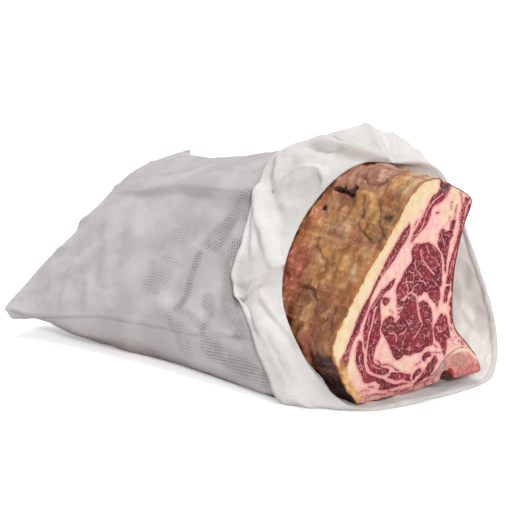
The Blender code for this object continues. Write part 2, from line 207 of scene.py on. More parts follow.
BAG_NET = np.array((MOUTH_RIM, CUFF_CREST, CUFF_HEM, REAR_OF_ROAST,
                    SLACK_FRONT, SLACK_REAR, END_SWELL, END_SEAM), float)


# ---- curves and distances

def spline(before, start, end, after, t):
    """The smooth curve from start to end that heads on to the points on both sides."""
    return 0.5 * (2 * start + (end - before) * t
                  + (2 * before - 5 * start + 4 * end - after) * t ** 2
                  + (3 * start - before - 3 * end + after) * t ** 3)


def smooth_line(corners, steps=4):
    """A smooth open curve through the corners."""
    line = np.array(corners, float)
    padded = np.vstack((2 * line[0] - line[1], line, 2 * line[-1] - line[-2]))
    points = [spline(*padded[index:index + 4], step / steps)
              for index in range(len(line) - 1) for step in range(steps)]
    return np.array(points + [line[-1]])


def smooth_loop(corners, steps=3):
    """A smooth closed curve through the corners."""
    line = np.array(corners, float)
    count = len(line)
    return np.array([spline(*(line[(index + offset) % count] for offset in (-1, 0, 1, 2)), step / steps)
                     for index in range(count) for step in range(steps)])


def even(line, spacing):
    """The same open curve with points evenly spaced."""
    lengths = np.concatenate(([0.0], np.cumsum(np.linalg.norm(np.diff(line, axis=0), axis=1))))
    count = max(2, int(round(lengths[-1] / spacing)) + 1)
    at = np.linspace(0.0, lengths[-1], count)
    return np.column_stack([np.interp(at, lengths, line[:, axis]) for axis in range(line.shape[1])])


def smoothstep(value, low, high):
    share = np.clip((value - low) / (high - low), 0.0, 1.0)
    return share * share * (3.0 - 2.0 * share)


def distance_to(points, line, closed=False):
    """Distance from each point to a run of straight edges."""
    line = np.asarray(line, float)
    ends = np.roll(line, -1, axis=0) if closed else line[1:]
    best = np.full(len(points), 1e9)
    for start, end in zip(line, ends):
        edge = end - start
        away = points - start
        along = np.clip(away @ edge / max(edge @ edge, 1e-9), 0.0, 1.0)
        away = away - along[:, None] * edge
        best = np.minimum(best, np.einsum("ij,ij->i", away, away))
    return np.sqrt(best)


def inside(points, outline):
    crossings = np.zeros(len(points), bool)
    x, z = points[:, 0], points[:, 1]
    for (x1, z1), (x2, z2) in zip(outline, np.roll(outline, -1, axis=0)):
        spans = (z1 > z) != (z2 > z)
        if z1 != z2:
            crossings ^= spans & (x < (x2 - x1) * (z - z1) / (z2 - z1) + x1)
    return crossings


def depth_inside(points, outline):
    """Distance to a closed outline, positive inside it."""
    near = distance_to(points, outline, closed=True)
    return np.where(inside(points, outline), near, -near)


def rough(points, size, seed=0.0, octaves=2):
    """Smooth random values between about -1 and 1, with features of the given size."""
    return np.array([noise.fractal(Vector((point[0] / size + seed, point[1] / size - seed, point[2] / size)),
                                   0.9, 2.0, octaves) for point in points])


# ---- meshes

def add_piece(name, points, faces, attributes=(), smooth=True):
    """A mesh object from points in mm, with its named values for each point."""
    mesh = bpy.data.meshes.new(name)
    mesh.from_pydata(((np.asarray(points) + FACE_CORNER) * MM).tolist(), [], faces)
    for label, values in dict(attributes).items():
        values = np.asarray(values, np.float32)
        kind = "FLOAT" if values.ndim == 1 else "FLOAT2"
        layer = mesh.attributes.new(label, kind, "POINT")
        layer.data.foreach_set("value" if kind == "FLOAT" else "vector", values.ravel())
    if smooth:
        mesh.shade_smooth()
    piece = bpy.data.objects.new(name, mesh)
    bpy.context.scene.collection.objects.link(piece)
    return piece


def ring_faces(first, rings, around, closed=True):
    faces = []
    for ring in range(rings - 1):
        for step in range(around if closed else around - 1):
            here = first + ring * around + step
            beside = first + ring * around + (step + 1) % around
            faces.append((here, beside, beside + around, here + around))
    return faces


def filled(outline, spacing):
    """Triangles over a flat outline: its own points first, then an even grid inside."""
    low, high = outline.min(axis=0), outline.max(axis=0)
    xs = np.arange(low[0], high[0], spacing)
    zs = np.arange(low[1], high[1], spacing * 0.87)
    grid = np.array([(x + (row % 2) * spacing / 2, z) for row, z in enumerate(zs) for x in xs])
    grid = grid[inside(grid, outline)]
    grid = grid[distance_to(grid, outline, closed=True) > spacing * 0.6]
    count = len(outline)
    corners = [Vector(point) for point in np.vstack((outline, grid)).tolist()]
    edges = [(step, (step + 1) % count) for step in range(count)]
    result = geometry.delaunay_2d_cdt(corners, edges, [], 1, 1e-6)
    points = np.array([vertex[:] for vertex in result[0]])
    return points, [tuple(face) for face in result[2]], result[3]


def end_scale(y):
    into_end = np.clip((np.asarray(y, float) - (ROAST_LENGTH - END_ROUNDING)) / END_ROUNDING, 0.0, 1.0)
    return 1.0 - END_SHRINK * (1.0 - np.sqrt(np.maximum(0.0, 1.0 - into_end ** 2)))


def inward(outline):
    """The direction into a clockwise outline at each of its points."""
    heading = np.roll(outline, -1, axis=0) - np.roll(outline, 1, axis=0)
    heading /= np.maximum(np.linalg.norm(heading, axis=1), 1e-9)[:, None]
    return np.column_stack((heading[:, 1], -heading[:, 0]))


def food_block(outline, round_by, stations, spacing, relief, face_values, side_values, side_shift):
    """A block of food: a flat cut face with a soft edge, its long sides and a plain rear end."""
    into = inward(outline)
    rim = outline + into * round_by[:, None]
    flat, triangles, origin = filled(rim, spacing)
    around = len(outline)
    own = {}
    for index, sources in enumerate(origin):
        for source in sources:
            if source < around:
                own[source] = index
    points = [np.column_stack((flat[:, 0], relief(flat), flat[:, 1]))]
    rings = []
    for share, depth in ((0.42, 0.12), (0.12, 0.5)):
        section = outline + into * round_by[:, None] * share
        rings.append(np.column_stack((section[:, 0], round_by * depth + 0.02, section[:, 1])))
    for y in stations:
        section = SECTION_CENTRE + (outline - SECTION_CENTRE) * end_scale(y)
        ring = np.column_stack((section[:, 0], np.full(around, float(y)), section[:, 1]))
        shift = side_shift(outline, ring)
        ring[:, 0] -= into[:, 0] * shift
        ring[:, 2] -= into[:, 1] * shift
        rings.append(ring)
    first = len(flat)
    points += rings
    last = rings[-1]
    centre = np.array([[last[:, 0].mean(), last[:, 1].mean() + 1.0, last[:, 2].mean()]])
    points.append(centre)
    faces = list(triangles)
    front = len(faces)
    for step in range(around):
        beside = (step + 1) % around
        if step in own and beside in own and own[step] != own[beside]:
            faces.append((own[step], own[beside], first + beside, first + step))
    faces += ring_faces(first, len(rings), around)
    hub = first + len(rings) * around
    start = hub - around
    faces += [(start + step, start + (step + 1) % around, hub) for step in range(around)]
    allpoints = np.vstack(points)
    side = np.vstack(rings + [centre])
    base = np.vstack([outline] * len(rings) + [outline.mean(axis=0)[None, :]])
    values = {}
    at_face, at_side = face_values(flat), side_values(base, side)
    for label in at_face:
        values[label] = np.concatenate((at_face[label], at_side[label]))
    return allpoints, faces, front, values


# ---- node graphs

class Graph:
    """A procedural material, with short ways to add its nodes."""

    def __init__(self, name):
        self.material = bpy.data.materials.new(name)
        self.material.use_nodes = True
        self.tree = self.material.node_tree
        self.shader = self.tree.nodes["Principled BSDF"]

    def put(self, socket, value):
        if isinstance(value, bpy.types.NodeSocket):
            self.tree.links.new(value, socket)
        else:
            socket.default_value = value

    def node(self, kind, output=0, settings=(), **inputs):
        made = self.tree.nodes.new(kind)
        for key, value in dict(settings).items():
            setattr(made, key, value)
        for key, value in inputs.items():
            slot = int(key[1:]) if key[0] == "i" and key[1:].isdigit() else key.replace("_", " ")
            self.put(made.inputs[slot], value)
        return made.outputs[output]

    def math(self, operation, *values, clamp=False):
        made = self.tree.nodes.new("ShaderNodeMath")
        made.operation = operation
        made.use_clamp = clamp
        for socket, value in zip(made.inputs, values):
            self.put(socket, value)
        return made.outputs[0]

    def attribute(self, name, output="Fac"):
        made = self.tree.nodes.new("ShaderNodeAttribute")
        made.attribute_name = name
        return made.outputs[output]

    def position(self):
        return self.node("ShaderNodeTexCoord", output="Object")

    def skin(self):
        """Place on the crust: depth into the bag and climb up the side, in metres."""
        return self.node("ShaderNodeVectorMath", settings={"operation": "SCALE"},
                         i0=self.attribute("skin", "Vector"), Scale=MM)

    def creases(self, vector, size, width, seed=0.0):
        """Thin wandering lines where smooth random values cross their middle."""
        wave = self.node("ShaderNodeTexNoise", Vector=vector, Scale=1.0 / (size * MM), Detail=3.0, Roughness=0.45,
                         Distortion=0.5, settings={"noise_dimensions": "4D"}, W=seed)
        away = self.math("ABSOLUTE", self.math("SUBTRACT", wave, 0.5))
        return self.step(away, 0.0, width, 1.0, 0.0)

    def stretched(self, vector, scale, rotation=(0, 0, 0)):
        return self.node("ShaderNodeMapping", Vector=vector, Scale=scale, Rotation=rotation)

    def noise(self, vector, size, detail=2.0, roughness=0.5, distortion=0.0):
        """Random values around 0.5, with features of about size mm."""
        return self.node("ShaderNodeTexNoise", Vector=vector, Scale=1.0 / (size * MM), Detail=detail,
                         Roughness=roughness, Distortion=distortion)

    def warped(self, vector, size, amount):
        """The same place, pushed about by amount mm."""
        wave = self.node("ShaderNodeTexNoise", output="Color", Vector=vector, Scale=1.0 / (size * MM), Detail=2.0)
        centred = self.node("ShaderNodeVectorMath", settings={"operation": "SUBTRACT"}, i0=wave, i1=(0.5, 0.5, 0.5))
        pushed = self.node("ShaderNodeVectorMath", settings={"operation": "SCALE"}, i0=centred, Scale=2.0 * amount * MM)
        return self.node("ShaderNodeVectorMath", settings={"operation": "ADD"}, i0=vector, i1=pushed)

    def step(self, value, low, high, to_low=0.0, to_high=1.0):
        made = self.tree.nodes.new("ShaderNodeMapRange")
        made.interpolation_type = "SMOOTHSTEP"
        for key, number in (("Value", value), ("From Min", low), ("From Max", high),
                            ("To Min", to_low), ("To Max", to_high)):
            self.put(made.inputs[key], number)
        return made.outputs[0]

    def mix(self, share, first, second, blend="MIX"):
        made = self.tree.nodes.new("ShaderNodeMix")
        made.data_type = "RGBA"
        made.blend_type = blend
        self.put(made.inputs[0], share)
        self.put(made.inputs[6], first if isinstance(first, bpy.types.NodeSocket) else colour(first))
        self.put(made.inputs[7], second if isinstance(second, bpy.types.NodeSocket) else colour(second))
        return made.outputs[2]

    def bump(self, height, distance, strength=1.0, normal=None):
        made = self.tree.nodes.new("ShaderNodeBump")
        made.inputs["Strength"].default_value = strength
        made.inputs["Distance"].default_value = distance * MM
        self.put(made.inputs["Height"], height)
        if normal is not None:
            self.put(made.inputs["Normal"], normal)
        return made.outputs[0]

    def finish(self, **inputs):
        for key, value in inputs.items():
            self.put(self.shader.inputs[key.replace("_", " ")], value)
        return self.material


def colour(rgb):
    """A screen colour of 0 to 255 as the shader's linear colour."""
    linear = [((c / 255 + 0.055) / 1.055) ** 2.4 if c > 10 else c / 255 / 12.92 for c in rgb]
    return (*linear, 1.0)


# ---- materials of the food

def cut_face_material():
    g = Graph("cut_meat")
    place = g.position()
    wobble = g.math("SUBTRACT", g.noise(place, 3.0, 3.0, 0.6), 0.5)
    ragged = g.math("SUBTRACT", g.noise(place, 1.1, 2.0, 0.6), 0.5)
    shift = g.math("ADD", g.math("MULTIPLY", wobble, 3.2), g.math("MULTIPLY", ragged, 1.6))
    lean_depth = g.math("ADD", g.attribute("lean"), shift)
    lean = g.step(lean_depth, -0.35, 0.45)
    vein = g.step(g.math("ADD", g.attribute("vein"), g.math("MULTIPLY", shift, 0.75)), -0.3, 0.35)

    # marbling: broken branching threads, coarse and fine
    bent = g.warped(g.stretched(place, (1.0, 1.0, 0.8)), 6.0, 2.2)
    cells = g.node("ShaderNodeTexVoronoi", settings={"feature": "DISTANCE_TO_EDGE"}, Vector=bent, Scale=105.0)
    parts = g.step(g.noise(place, 7.0, 3.0, 0.6), 0.46, 0.62)
    coarse = g.math("MULTIPLY", g.step(cells, 0.014, 0.05, 0.9, 0.0), parts)
    bent_fine = g.warped(place, 3.0, 1.3)
    fine_cells = g.node("ShaderNodeTexVoronoi", settings={"feature": "DISTANCE_TO_EDGE"}, Vector=bent_fine, Scale=240.0)
    fine_parts = g.step(g.noise(place, 4.0, 2.0, 0.6), 0.53, 0.66)
    fine = g.math("MULTIPLY", g.step(fine_cells, 0.02, 0.085, 1.0, 0.0), fine_parts)
    flecks = g.step(g.noise(g.stretched(place, (1.0, 1.0, 0.5), (0, 0.35, 0)), 2.1, 2.0, 0.6), 0.59, 0.65)
    flecks = g.math("MULTIPLY", flecks, g.step(g.noise(place, 15.0, 2.0), 0.4, 0.6, 0.45, 1.0))
    flecks = g.math("MULTIPLY", flecks, g.step(g.attribute("calm"), 0.0, 1.0, 1.0, 0.3))
    marbling = g.math("MAXIMUM", g.math("MAXIMUM", g.math("MULTIPLY", coarse, 0.8), g.math("MULTIPLY", fine, 0.6)),
                      g.math("MULTIPLY", flecks, 0.85))
    marbling = g.math("MULTIPLY", marbling, g.step(g.attribute("lean"), 0.2, 1.6, 0.35, 1.0))
    white = g.math("MAXIMUM", marbling, vein)

    tone = g.noise(place, 18.0, 3.0, 0.55)
    red = g.mix(g.step(tone, 0.36, 0.66), (98, 18, 36), (150, 36, 54))
    grain = g.noise(g.stretched(place, (1.0, 1.0, 0.35)), 1.3, 2.0, 0.6)
    red = g.mix(g.step(grain, 0.4, 0.62, 0.0, 0.5), red, (104, 26, 38))
    edge_dark = g.step(g.math("ADD", g.attribute("lean"), shift), 0.3, 3.2, 0.5, 0.0)
    red = g.mix(edge_dark, red, (104, 24, 36))
    red = g.mix(g.attribute("dark"), red, (84, 52, 58))
    lean_colour = g.mix(g.math("MULTIPLY", white, 0.84), red, (232, 162, 160))

    fat_tone = g.noise(place, 9.0, 3.0, 0.6)
    inner = g.mix(g.step(fat_tone, 0.35, 0.7), (236, 196, 184), (228, 168, 160))
    blush = g.step(g.noise(place, 3.4, 3.0, 0.7), 0.56, 0.72)
    inner = g.mix(g.math("MULTIPLY", blush, 0.4), inner, (210, 124, 118))
    cream = g.mix(g.step(g.noise(place, 12.0, 3.0, 0.6), 0.35, 0.7), (230, 210, 174), (220, 192, 152))
    fat = g.mix(g.attribute("cream"), inner, cream)
    near_lean = g.step(lean_depth, -4.0, -0.3, 0.0, 0.72)
    fat = g.mix(near_lean, fat, (218, 132, 132))
    bloody = g.math("MULTIPLY", g.attribute("bloody"), g.step(g.noise(place, 2.4, 2.0, 0.6), 0.54, 0.6))
    speck = g.step(g.noise(place, 1.6, 2.0, 0.6), 0.665, 0.73)
    fat = g.mix(g.math("MULTIPLY", speck, g.step(g.attribute("cream"), 0.2, 0.8, 0.75, 0.12)), fat, (172, 66, 66))
    fat = g.mix(g.math("MULTIPLY", bloody, 0.85), fat, (120, 40, 40))
    face = g.mix(lean, fat, lean_colour)

    # the dried line where the crust shows in section
    scallop = g.math("SUBTRACT", g.noise(place, 7.0, 3.0, 0.6), 0.52)
    dried = g.math("ADD", g.attribute("rim"), g.math("ADD", g.math("MULTIPLY", wobble, 2.6), g.math("MULTIPLY", scallop, 20.0)))
    face = g.mix(g.attribute("heel"), face, g.mix(g.step(fat_tone, 0.4, 0.65), (222, 180, 108), (190, 132, 66)))
    dirty = g.math("MULTIPLY", g.attribute("foot"), g.step(g.noise(place, 4.0, 4.0, 0.65), 0.4, 0.6, 0.25, 0.9))
    face = g.mix(dirty, face, g.mix(g.step(ragged, -0.05, 0.12), (196, 128, 116), (132, 62, 60)))
    face = g.mix(g.step(dried, 1.0, 5.5, 0.55, 0.0), face, (222, 180, 122))
    face = g.mix(g.step(dried, -0.2, 1.9, 0.75, 0.0), face, g.mix(g.step(ragged, -0.08, 0.1), (200, 132, 70), (146, 86, 46)))
    face = g.mix(g.attribute("ribedge"), face, (92, 40, 40))

    height = g.math("ADD", g.math("MULTIPLY", lean, 0.35), g.math("MULTIPLY", grain, 0.5))
    height = g.math("SUBTRACT", height, g.math("MULTIPLY", white, 0.2))
    rough_value = g.step(g.noise(place, 5.0, 2.0), 0.3, 0.7, 0.30, 0.5)
    return g.finish(Base_Color=face, Roughness=rough_value, Normal=g.bump(height, 0.7, 0.6),
                    Specular_IOR_Level=0.25)


def crust_material():
    g = Graph("dry_crust")
    place = g.position()
    skin = g.stretched(g.skin(), (1.0, 0.8, 1.0), (0, 0, 0.35))
    broad = g.noise(skin, 46.0, 2.0, 0.5, 0.4)
    medium = g.noise(skin, 30.0, 2.5, 0.42, 0.3)
    small = g.noise(place, 9.0, 3.0, 0.45, 0.2)
    fine = g.noise(place, 2.0, 3.0, 0.6)
    base = g.mix(g.step(broad, 0.38, 0.62), (160, 104, 54), (194, 140, 84))
    base = g.mix(g.attribute("low"), base, (132, 76, 42))
    base = g.mix(g.step(medium, 0.5, 0.64, 0.0, 0.7), base, (206, 160, 106))
    base = g.mix(g.step(medium, 0.32, 0.44, 0.6, 0.0), base, (128, 78, 46))
    ruddy = g.step(g.noise(skin, 22.0, 3.0, 0.6, 0.8), 0.52, 0.66, 0.0, 0.55)
    base = g.mix(ruddy, base, (158, 78, 48))
    base = g.mix(g.step(small, 0.55, 0.72, 0.0, 0.24), base, (118, 74, 46))
    base = g.mix(g.step(small, 0.28, 0.42, 0.24, 0.0), base, (218, 178, 132))
    base = g.mix(g.math("MULTIPLY", g.attribute("brown"), g.step(small, 0.36, 0.56, 0.9, 0.5)), base, (112, 76, 56))
    base = g.mix(g.math("MULTIPLY", g.attribute("rust"), g.step(broad, 0.36, 0.6, 0.4, 0.95)), base,
                 g.mix(g.step(medium, 0.38, 0.6), (160, 66, 42), (214, 132, 84)))
    red = g.math("MULTIPLY", g.attribute("red"), g.step(medium, 0.3, 0.6, 0.55, 1.0))
    base = g.mix(red, base, g.mix(g.step(small, 0.4, 0.62), (140, 66, 52), (176, 102, 84)))
    base = g.mix(g.math("MULTIPLY", g.attribute("mauve"), 0.7), base, g.mix(g.step(medium, 0.4, 0.6), (206, 156, 136), (166, 112, 96)))
    base = g.mix(g.attribute("pale"), base, (222, 188, 150))
    wobble = g.math("SUBTRACT", g.noise(place, 7.0, 3.0, 0.6), 0.5)
    edge = g.math("ADD", g.attribute("rim"), g.math("MULTIPLY", wobble, 16.0))
    base = g.mix(g.step(edge, 1.0, 9.0, 0.75, 0.0), base, g.mix(g.step(medium, 0.4, 0.6), (206, 128, 66), (164, 94, 50)))
    base = g.mix(g.step(edge, -2.0, 3.2, 0.7, 0.0), base, g.mix(g.step(small, 0.42, 0.6), (204, 134, 66), (138, 78, 40)))
    # painted shade: thin dark lines along the creases and in the wrinkle grooves
    crease = g.math("MULTIPLY", g.creases(skin, 24.0, 0.02), g.step(g.noise(skin, 27.0, 2.0), 0.47, 0.6))
    lines = g.math("MULTIPLY", crease, 0.8)
    base = g.mix(g.math("MULTIPLY", lines, 0.25), base, (104, 58, 36))
    base = g.mix(g.math("MULTIPLY", g.attribute("wrinkle"), 0.3), base, (116, 68, 44))
    # near black: painted shade in the pits, soft dark patches, and the heel, dark dried crust with painted shade where
    # the side turns under
    dark = g.math("ADD", g.attribute("dark"), g.math("MULTIPLY", wobble, 0.9))
    base = g.mix(g.step(dark, 0.35, 0.8, 0.0, 0.95), base, g.mix(g.step(small, 0.42, 0.62), (34, 20, 22), (72, 38, 34)))
    crack = g.math("ADD", g.attribute("crack"), g.math("MULTIPLY", g.math("SUBTRACT", g.noise(place, 4.0, 3.0, 0.65), 0.5), 4.5))
    patchy = g.step(g.noise(place, 11.0, 2.0), 0.38, 0.56, 0.35, 0.85)
    # brown round each crack, and painted shade darkening its narrow groove
    base = g.mix(g.step(crack, 0.5, 7.0, 0.42, 0.0), base, (120, 78, 52))
    base = g.mix(g.math("MULTIPLY", g.step(crack, 0.0, 2.4, 0.9, 0.0), patchy), base, (78, 42, 32))
    film = g.mix(g.step(medium, 0.35, 0.65), (116, 50, 46), (160, 98, 84))
    base = g.mix(g.attribute("film"), base, film)
    base = g.mix(g.attribute("sawn"), base, g.mix(g.step(small, 0.4, 0.6), (204, 150, 124), (160, 76, 68)))
    lumps = g.noise(g.stretched(g.skin(), (1.0, 0.8, 1.0)), 21.0, 1.5, 0.4, 0.2)
    soft = g.noise(skin, 34.0, 1.5, 0.4, 0.4)
    height = g.math("ADD", g.math("MULTIPLY", soft, 2.4), g.math("MULTIPLY", small, 0.26))
    height = g.math("ADD", height, g.math("MULTIPLY", lumps, 2.4))
    height = g.math("SUBTRACT", height, g.math("MULTIPLY", lines, 0.25))
    height = g.math("ADD", height, g.math("MULTIPLY", fine, 0.12))
    return g.finish(Base_Color=base, Roughness=g.step(small, 0.35, 0.65, 0.24, 0.42),
                    Normal=g.bump(height, 7.0, 1.0), Specular_IOR_Level=0.36)


def bone_material():
    g = Graph("sawn_bone")
    place = g.position()
    wobble = g.math("MULTIPLY", g.math("SUBTRACT", g.noise(place, 4.0, 3.0, 0.6), 0.5), 4.0)
    tone = g.noise(place, 7.0, 3.0, 0.6)
    base = g.mix(g.step(tone, 0.35, 0.65), (220, 160, 148), (198, 126, 118))
    base = g.mix(g.step(g.noise(place, 2.0, 2.0, 0.6), 0.5, 0.68, 0.0, 0.6), base, (168, 84, 76))
    marrow = g.step(g.math("ADD", g.attribute("marrow"), wobble), -0.8, 0.8)
    pores = g.step(g.node("ShaderNodeTexVoronoi", Vector=place, Scale=620.0), 0.2, 0.5)
    spongy = g.mix(pores, (120, 74, 66), (196, 140, 124))
    base = g.mix(marrow, base, spongy)
    arch = g.step(g.math("ADD", g.attribute("arch"), wobble), -0.8, 0.6)
    base = g.mix(arch, base, g.mix(g.step(tone, 0.4, 0.6), (186, 158, 154), (150, 112, 116)))
    base = g.mix(g.math("MULTIPLY", g.attribute("thin"), 0.85), base, g.mix(g.step(tone, 0.42, 0.58), (218, 152, 142), (150, 70, 70)))
    base = g.mix(g.attribute("salmon"), base, g.mix(g.step(tone, 0.4, 0.6), (200, 118, 112), (166, 80, 80)))
    base = g.mix(g.attribute("cream"), base, (236, 208, 178))
    speck = g.step(g.noise(place, 2.6, 2.0, 0.6), 0.64, 0.7, 0.0, 0.75)
    base = g.mix(g.math("MULTIPLY", speck, g.attribute("cream")), base, (110, 40, 36))
    base = g.mix(g.step(g.math("ADD", g.attribute("blood"), wobble), -0.6, 0.6), base, (148, 26, 26))
    base = g.mix(g.attribute("black"), base, (30, 10, 10))
    base = g.mix(g.attribute("side"), base, g.mix(g.step(tone, 0.35, 0.65), (172, 92, 76), (120, 50, 44)))
    height = g.math("ADD", g.math("MULTIPLY", pores, 0.3), g.noise(place, 3.0, 3.0, 0.6))
    return g.finish(Base_Color=base, Roughness=0.42, Normal=g.bump(height, 0.9, 0.6), Specular_IOR_Level=0.5)


# ---- the roast

def roast():
    crust = even(smooth_line(CRUST_SIDE, 8), 1.7)
    top = even(smooth_line(SAWN_TOP, 4), 2.4)
    ribs = even(smooth_line(RIB_SIDE, 8), 2.6)
    bone = even(smooth_line(BONE_TOP, 6), 2.2)
    foot = even(smooth_line(FOOT, 6), 2.2)
    heel = even(smooth_line(HEEL, 6), 1.8)
    runs = (crust, top, ribs, bone, foot, heel)
    outline = np.vstack([run[:-1] for run in runs])
    part = np.concatenate([np.full(len(run) - 1, number) for number, run in enumerate(runs)])
    ragged = rough(np.column_stack((outline, np.zeros(len(outline)))), 9.0, 31.0, 3)
    inner_end = smoothstep(distance_to(outline, bone), 2.0, 14.0)
    outline = outline + inward(outline) * (0.35 + 1.7 * ragged * inner_end * np.isin(part, (0, 1, 4, 5)))[:, None] * inner_end[:, None]
    round_by = np.where(part == 3, 0.12, 1.7)
    round_by = np.convolve(np.pad(round_by, 3, mode="wrap"), np.ones(7) / 7, "valid")
    stations = [1.9, 3.2] + list(np.arange(4.6, 196, 1.75)) + list(np.arange(200, 278, 7.0))
    stations += [ROAST_LENGTH - END_ROUNDING + END_ROUNDING * share for share in (0.0, 0.45, 0.75, 0.93, 1.0)]
    muscles = [smooth_loop(shape) for shape in LEAN]
    streaks = [(half, smooth_line(line, 3)) for half, line in STREAKS]
    veins = [(half, smooth_line(line, 3)) for half, line in VEINS]
    crust_line = np.vstack((heel, crust))
    foot_line = np.vstack((smooth_line(FEATHER_BASE), foot))

    def lean_at(flat):
        depth = np.full(len(flat), -1e9)
        for shape in muscles:
            near = np.all((flat > shape.min(axis=0) - 6) & (flat < shape.max(axis=0) + 6), axis=1)
            depth[near] = np.maximum(depth[near], depth_inside(flat[near], shape))
        for half, line in streaks:
            near = np.all((flat > line.min(axis=0) - 6) & (flat < line.max(axis=0) + 6), axis=1)
            depth[near] = np.maximum(depth[near], half - distance_to(flat[near], line))
        return np.maximum(depth, -6.0)

    def vein_at(flat):
        depth = np.full(len(flat), -6.0)
        for half, line in veins:
            near = np.all((flat > line.min(axis=0) - 6) & (flat < line.max(axis=0) + 6), axis=1)
            depth[near] = np.maximum(depth[near], half - distance_to(flat[near], line))
        return depth

    def relief(flat):
        lean = lean_at(flat)
        lift = smoothstep(lean, -1.0, 3.0) * 0.9 - smoothstep(vein_at(flat), -1.2, 0.6) * 0.7
        soft = rough(np.column_stack((flat[:, 0], np.zeros(len(flat)), flat[:, 1])), 30.0, 3.0)
        height = np.clip(-lift * 0.8 - soft * 0.8, -1.5, 1.7)
        return 0.9 + height * smoothstep(distance_to(flat, bone), 0.3, 5.0)

    def face_values(flat):
        from_crust = distance_to(flat, crust_line)
        from_ribs = distance_to(flat, ribs)
        x, z = flat[:, 0], flat[:, 1]
        cream = smoothstep(from_crust, 34.0, 16.0) * smoothstep(z, 18, 50)
        cream = np.maximum(cream, 0.8 * smoothstep(distance_to(flat, ((170, 255), (165, 235), (152, 225))), 14, 4))
        cream = np.maximum(cream, 0.7 * smoothstep(distance_to(flat, ((60, 118), (58, 110))), 9, 3))
        cream = np.maximum(cream, 0.55 * smoothstep(distance_to(flat, ((72, 36), (92, 34))), 9, 3))
        dark = smoothstep(distance_to(flat, ((149, 263), (145, 258))), 8, 4)
        heel_lump = smoothstep(from_crust, 17, 7) * smoothstep(z, 66, 44) * smoothstep(x, 26, 12)
        return {"lean": lean_at(flat), "vein": vein_at(flat), "cream": cream, "rim": from_crust,
                "dark": np.maximum(dark, 0.6 * smoothstep(z, 58, 44) * smoothstep(x, 6, -4)), "heel": heel_lump * 0.85,
                "foot": smoothstep(distance_to(flat, foot_line), 10, 2), "rust": np.zeros(len(flat)),
                "calm": smoothstep(np.hypot((x - 92) / 46, (z - 74) / 34), 1.15, 0.7), "brown": np.zeros(len(flat)),
                "bloody": smoothstep(distance_to(flat, ((168, 62), (192, 48))), 17, 5),
                "ribedge": smoothstep(from_ribs, 2.4, 0.8) * smoothstep(z, 60, 110) * 0.8,
                "red": np.zeros(len(flat)), "pale": np.zeros(len(flat)), "crack": np.full(len(flat), 9.0),
                "mauve": np.zeros(len(flat)), "wrinkle": np.zeros(len(flat)), "low": np.zeros(len(flat)),
                "skin": flat, "film": np.zeros(len(flat)), "sawn": np.zeros(len(flat))}

    cracks = [(depth, width, smooth_line(line, 4)) for depth, width, line in CRACKS]

    def skin_place(base, side):
        """Depth and climb, and the same pushed about a little so that no feature is regular."""
        where = np.column_stack((side[:, 1], base @ CHORD))
        flat = np.column_stack((where, np.zeros(len(where))))
        drift = np.column_stack((rough(flat, 16.0, 11.0), rough(flat, 16.0, 23.0)))
        return where, where + 4.0 * drift * smoothstep(where[:, :1], 0.0, 12.0)

    def crack_at(where):
        near = np.full(len(where), 9.0)
        groove = np.zeros(len(where))
        for depth, width, line in cracks:
            away = distance_to(where, line)
            near = np.minimum(near, away - 0.3)
            ends = smoothstep(np.minimum(np.linalg.norm(where - line[0], axis=1),
                                         np.linalg.norm(where - line[-1], axis=1)), -2, 14)
            lip = 0.6 * depth * np.exp(-((away - 2.8 * width) / (1.8 * width)) ** 2)
            groove = np.maximum(groove, depth * np.exp(-(away / width) ** 2) * ends) - lip * ends * 0.7
        return near, groove

    def wrinkles(where):
        """Long creases that run up the side, where smooth random values cross zero."""
        lines = np.zeros(len(where))
        for across, up, seed, width in ((26.0, 34.0, 2.0, 0.09), (34.0, 26.0, 7.0, 0.07)):
            values = np.array([noise.noise(Vector((y / across + 0.012 * s, s / up - 0.01 * y, seed))) for y, s in where])
            lines = np.maximum(lines, np.exp(-(values / width) ** 2))
        gate = np.array([noise.noise(Vector((y / 30.0, s / 30.0, 5.5))) for y, s in where])
        return lines * smoothstep(gate, -0.12, 0.22)

    def on_crust(base):
        return smoothstep(distance_to(base, crust_line), 3.0, 0.5)

    def rise(section, ring):
        """Height of the skin at each point of the sides, and what marks its colour."""
        crusted = on_crust(section)
        where, drifted = skin_place(section, ring)
        skin3 = np.column_stack((where[:, 0], where[:, 1] * 0.6, np.zeros(len(where))))
        soft = rough(skin3, 30.0, 1.0) * 4.2 + rough(skin3, 14.0, 5.0) * 2.4 + rough(skin3, 5.5, 9.0) * 0.15
        near, groove = crack_at(drifted)
        lines = wrinkles(where)
        y, s = drifted[:, 0], drifted[:, 1]
        shift = soft - groove - 1.2 * lines
        pit = np.zeros(len(where))
        for cy, cs, long, wide, depth in PITS:
            hole = np.exp(-(((y - cy) / long) ** 2 + ((s - cs) / wide) ** 2) ** 2)
            shift = shift - depth * hole
            pit = np.maximum(pit, hole)
        flap = smoothstep(y, 58, 66) * smoothstep(s, 256, 268)
        shift = shift + 2.6 * flap - 1.6
        shift = 1.7 - np.log1p(np.exp(1.3 * (1.7 - shift))) / 1.3
        shift = shift * smoothstep(where[:, 0], 0.0, 10.0)
        return crusted, where, drifted, shift, near, lines, pit, flap

    def side_shift(section, ring):
        crusted, where, drifted, shift, near, lines, pit, flap = rise(section, ring)
        ribs_wave = 1.6 * np.cos(ring[:, 1] * 2 * math.pi / 44.0) * smoothstep(distance_to(section, ribs), 3, 0.5)
        return shift * crusted + (1 - crusted) * ribs_wave * smoothstep(ring[:, 1], 0, 12)

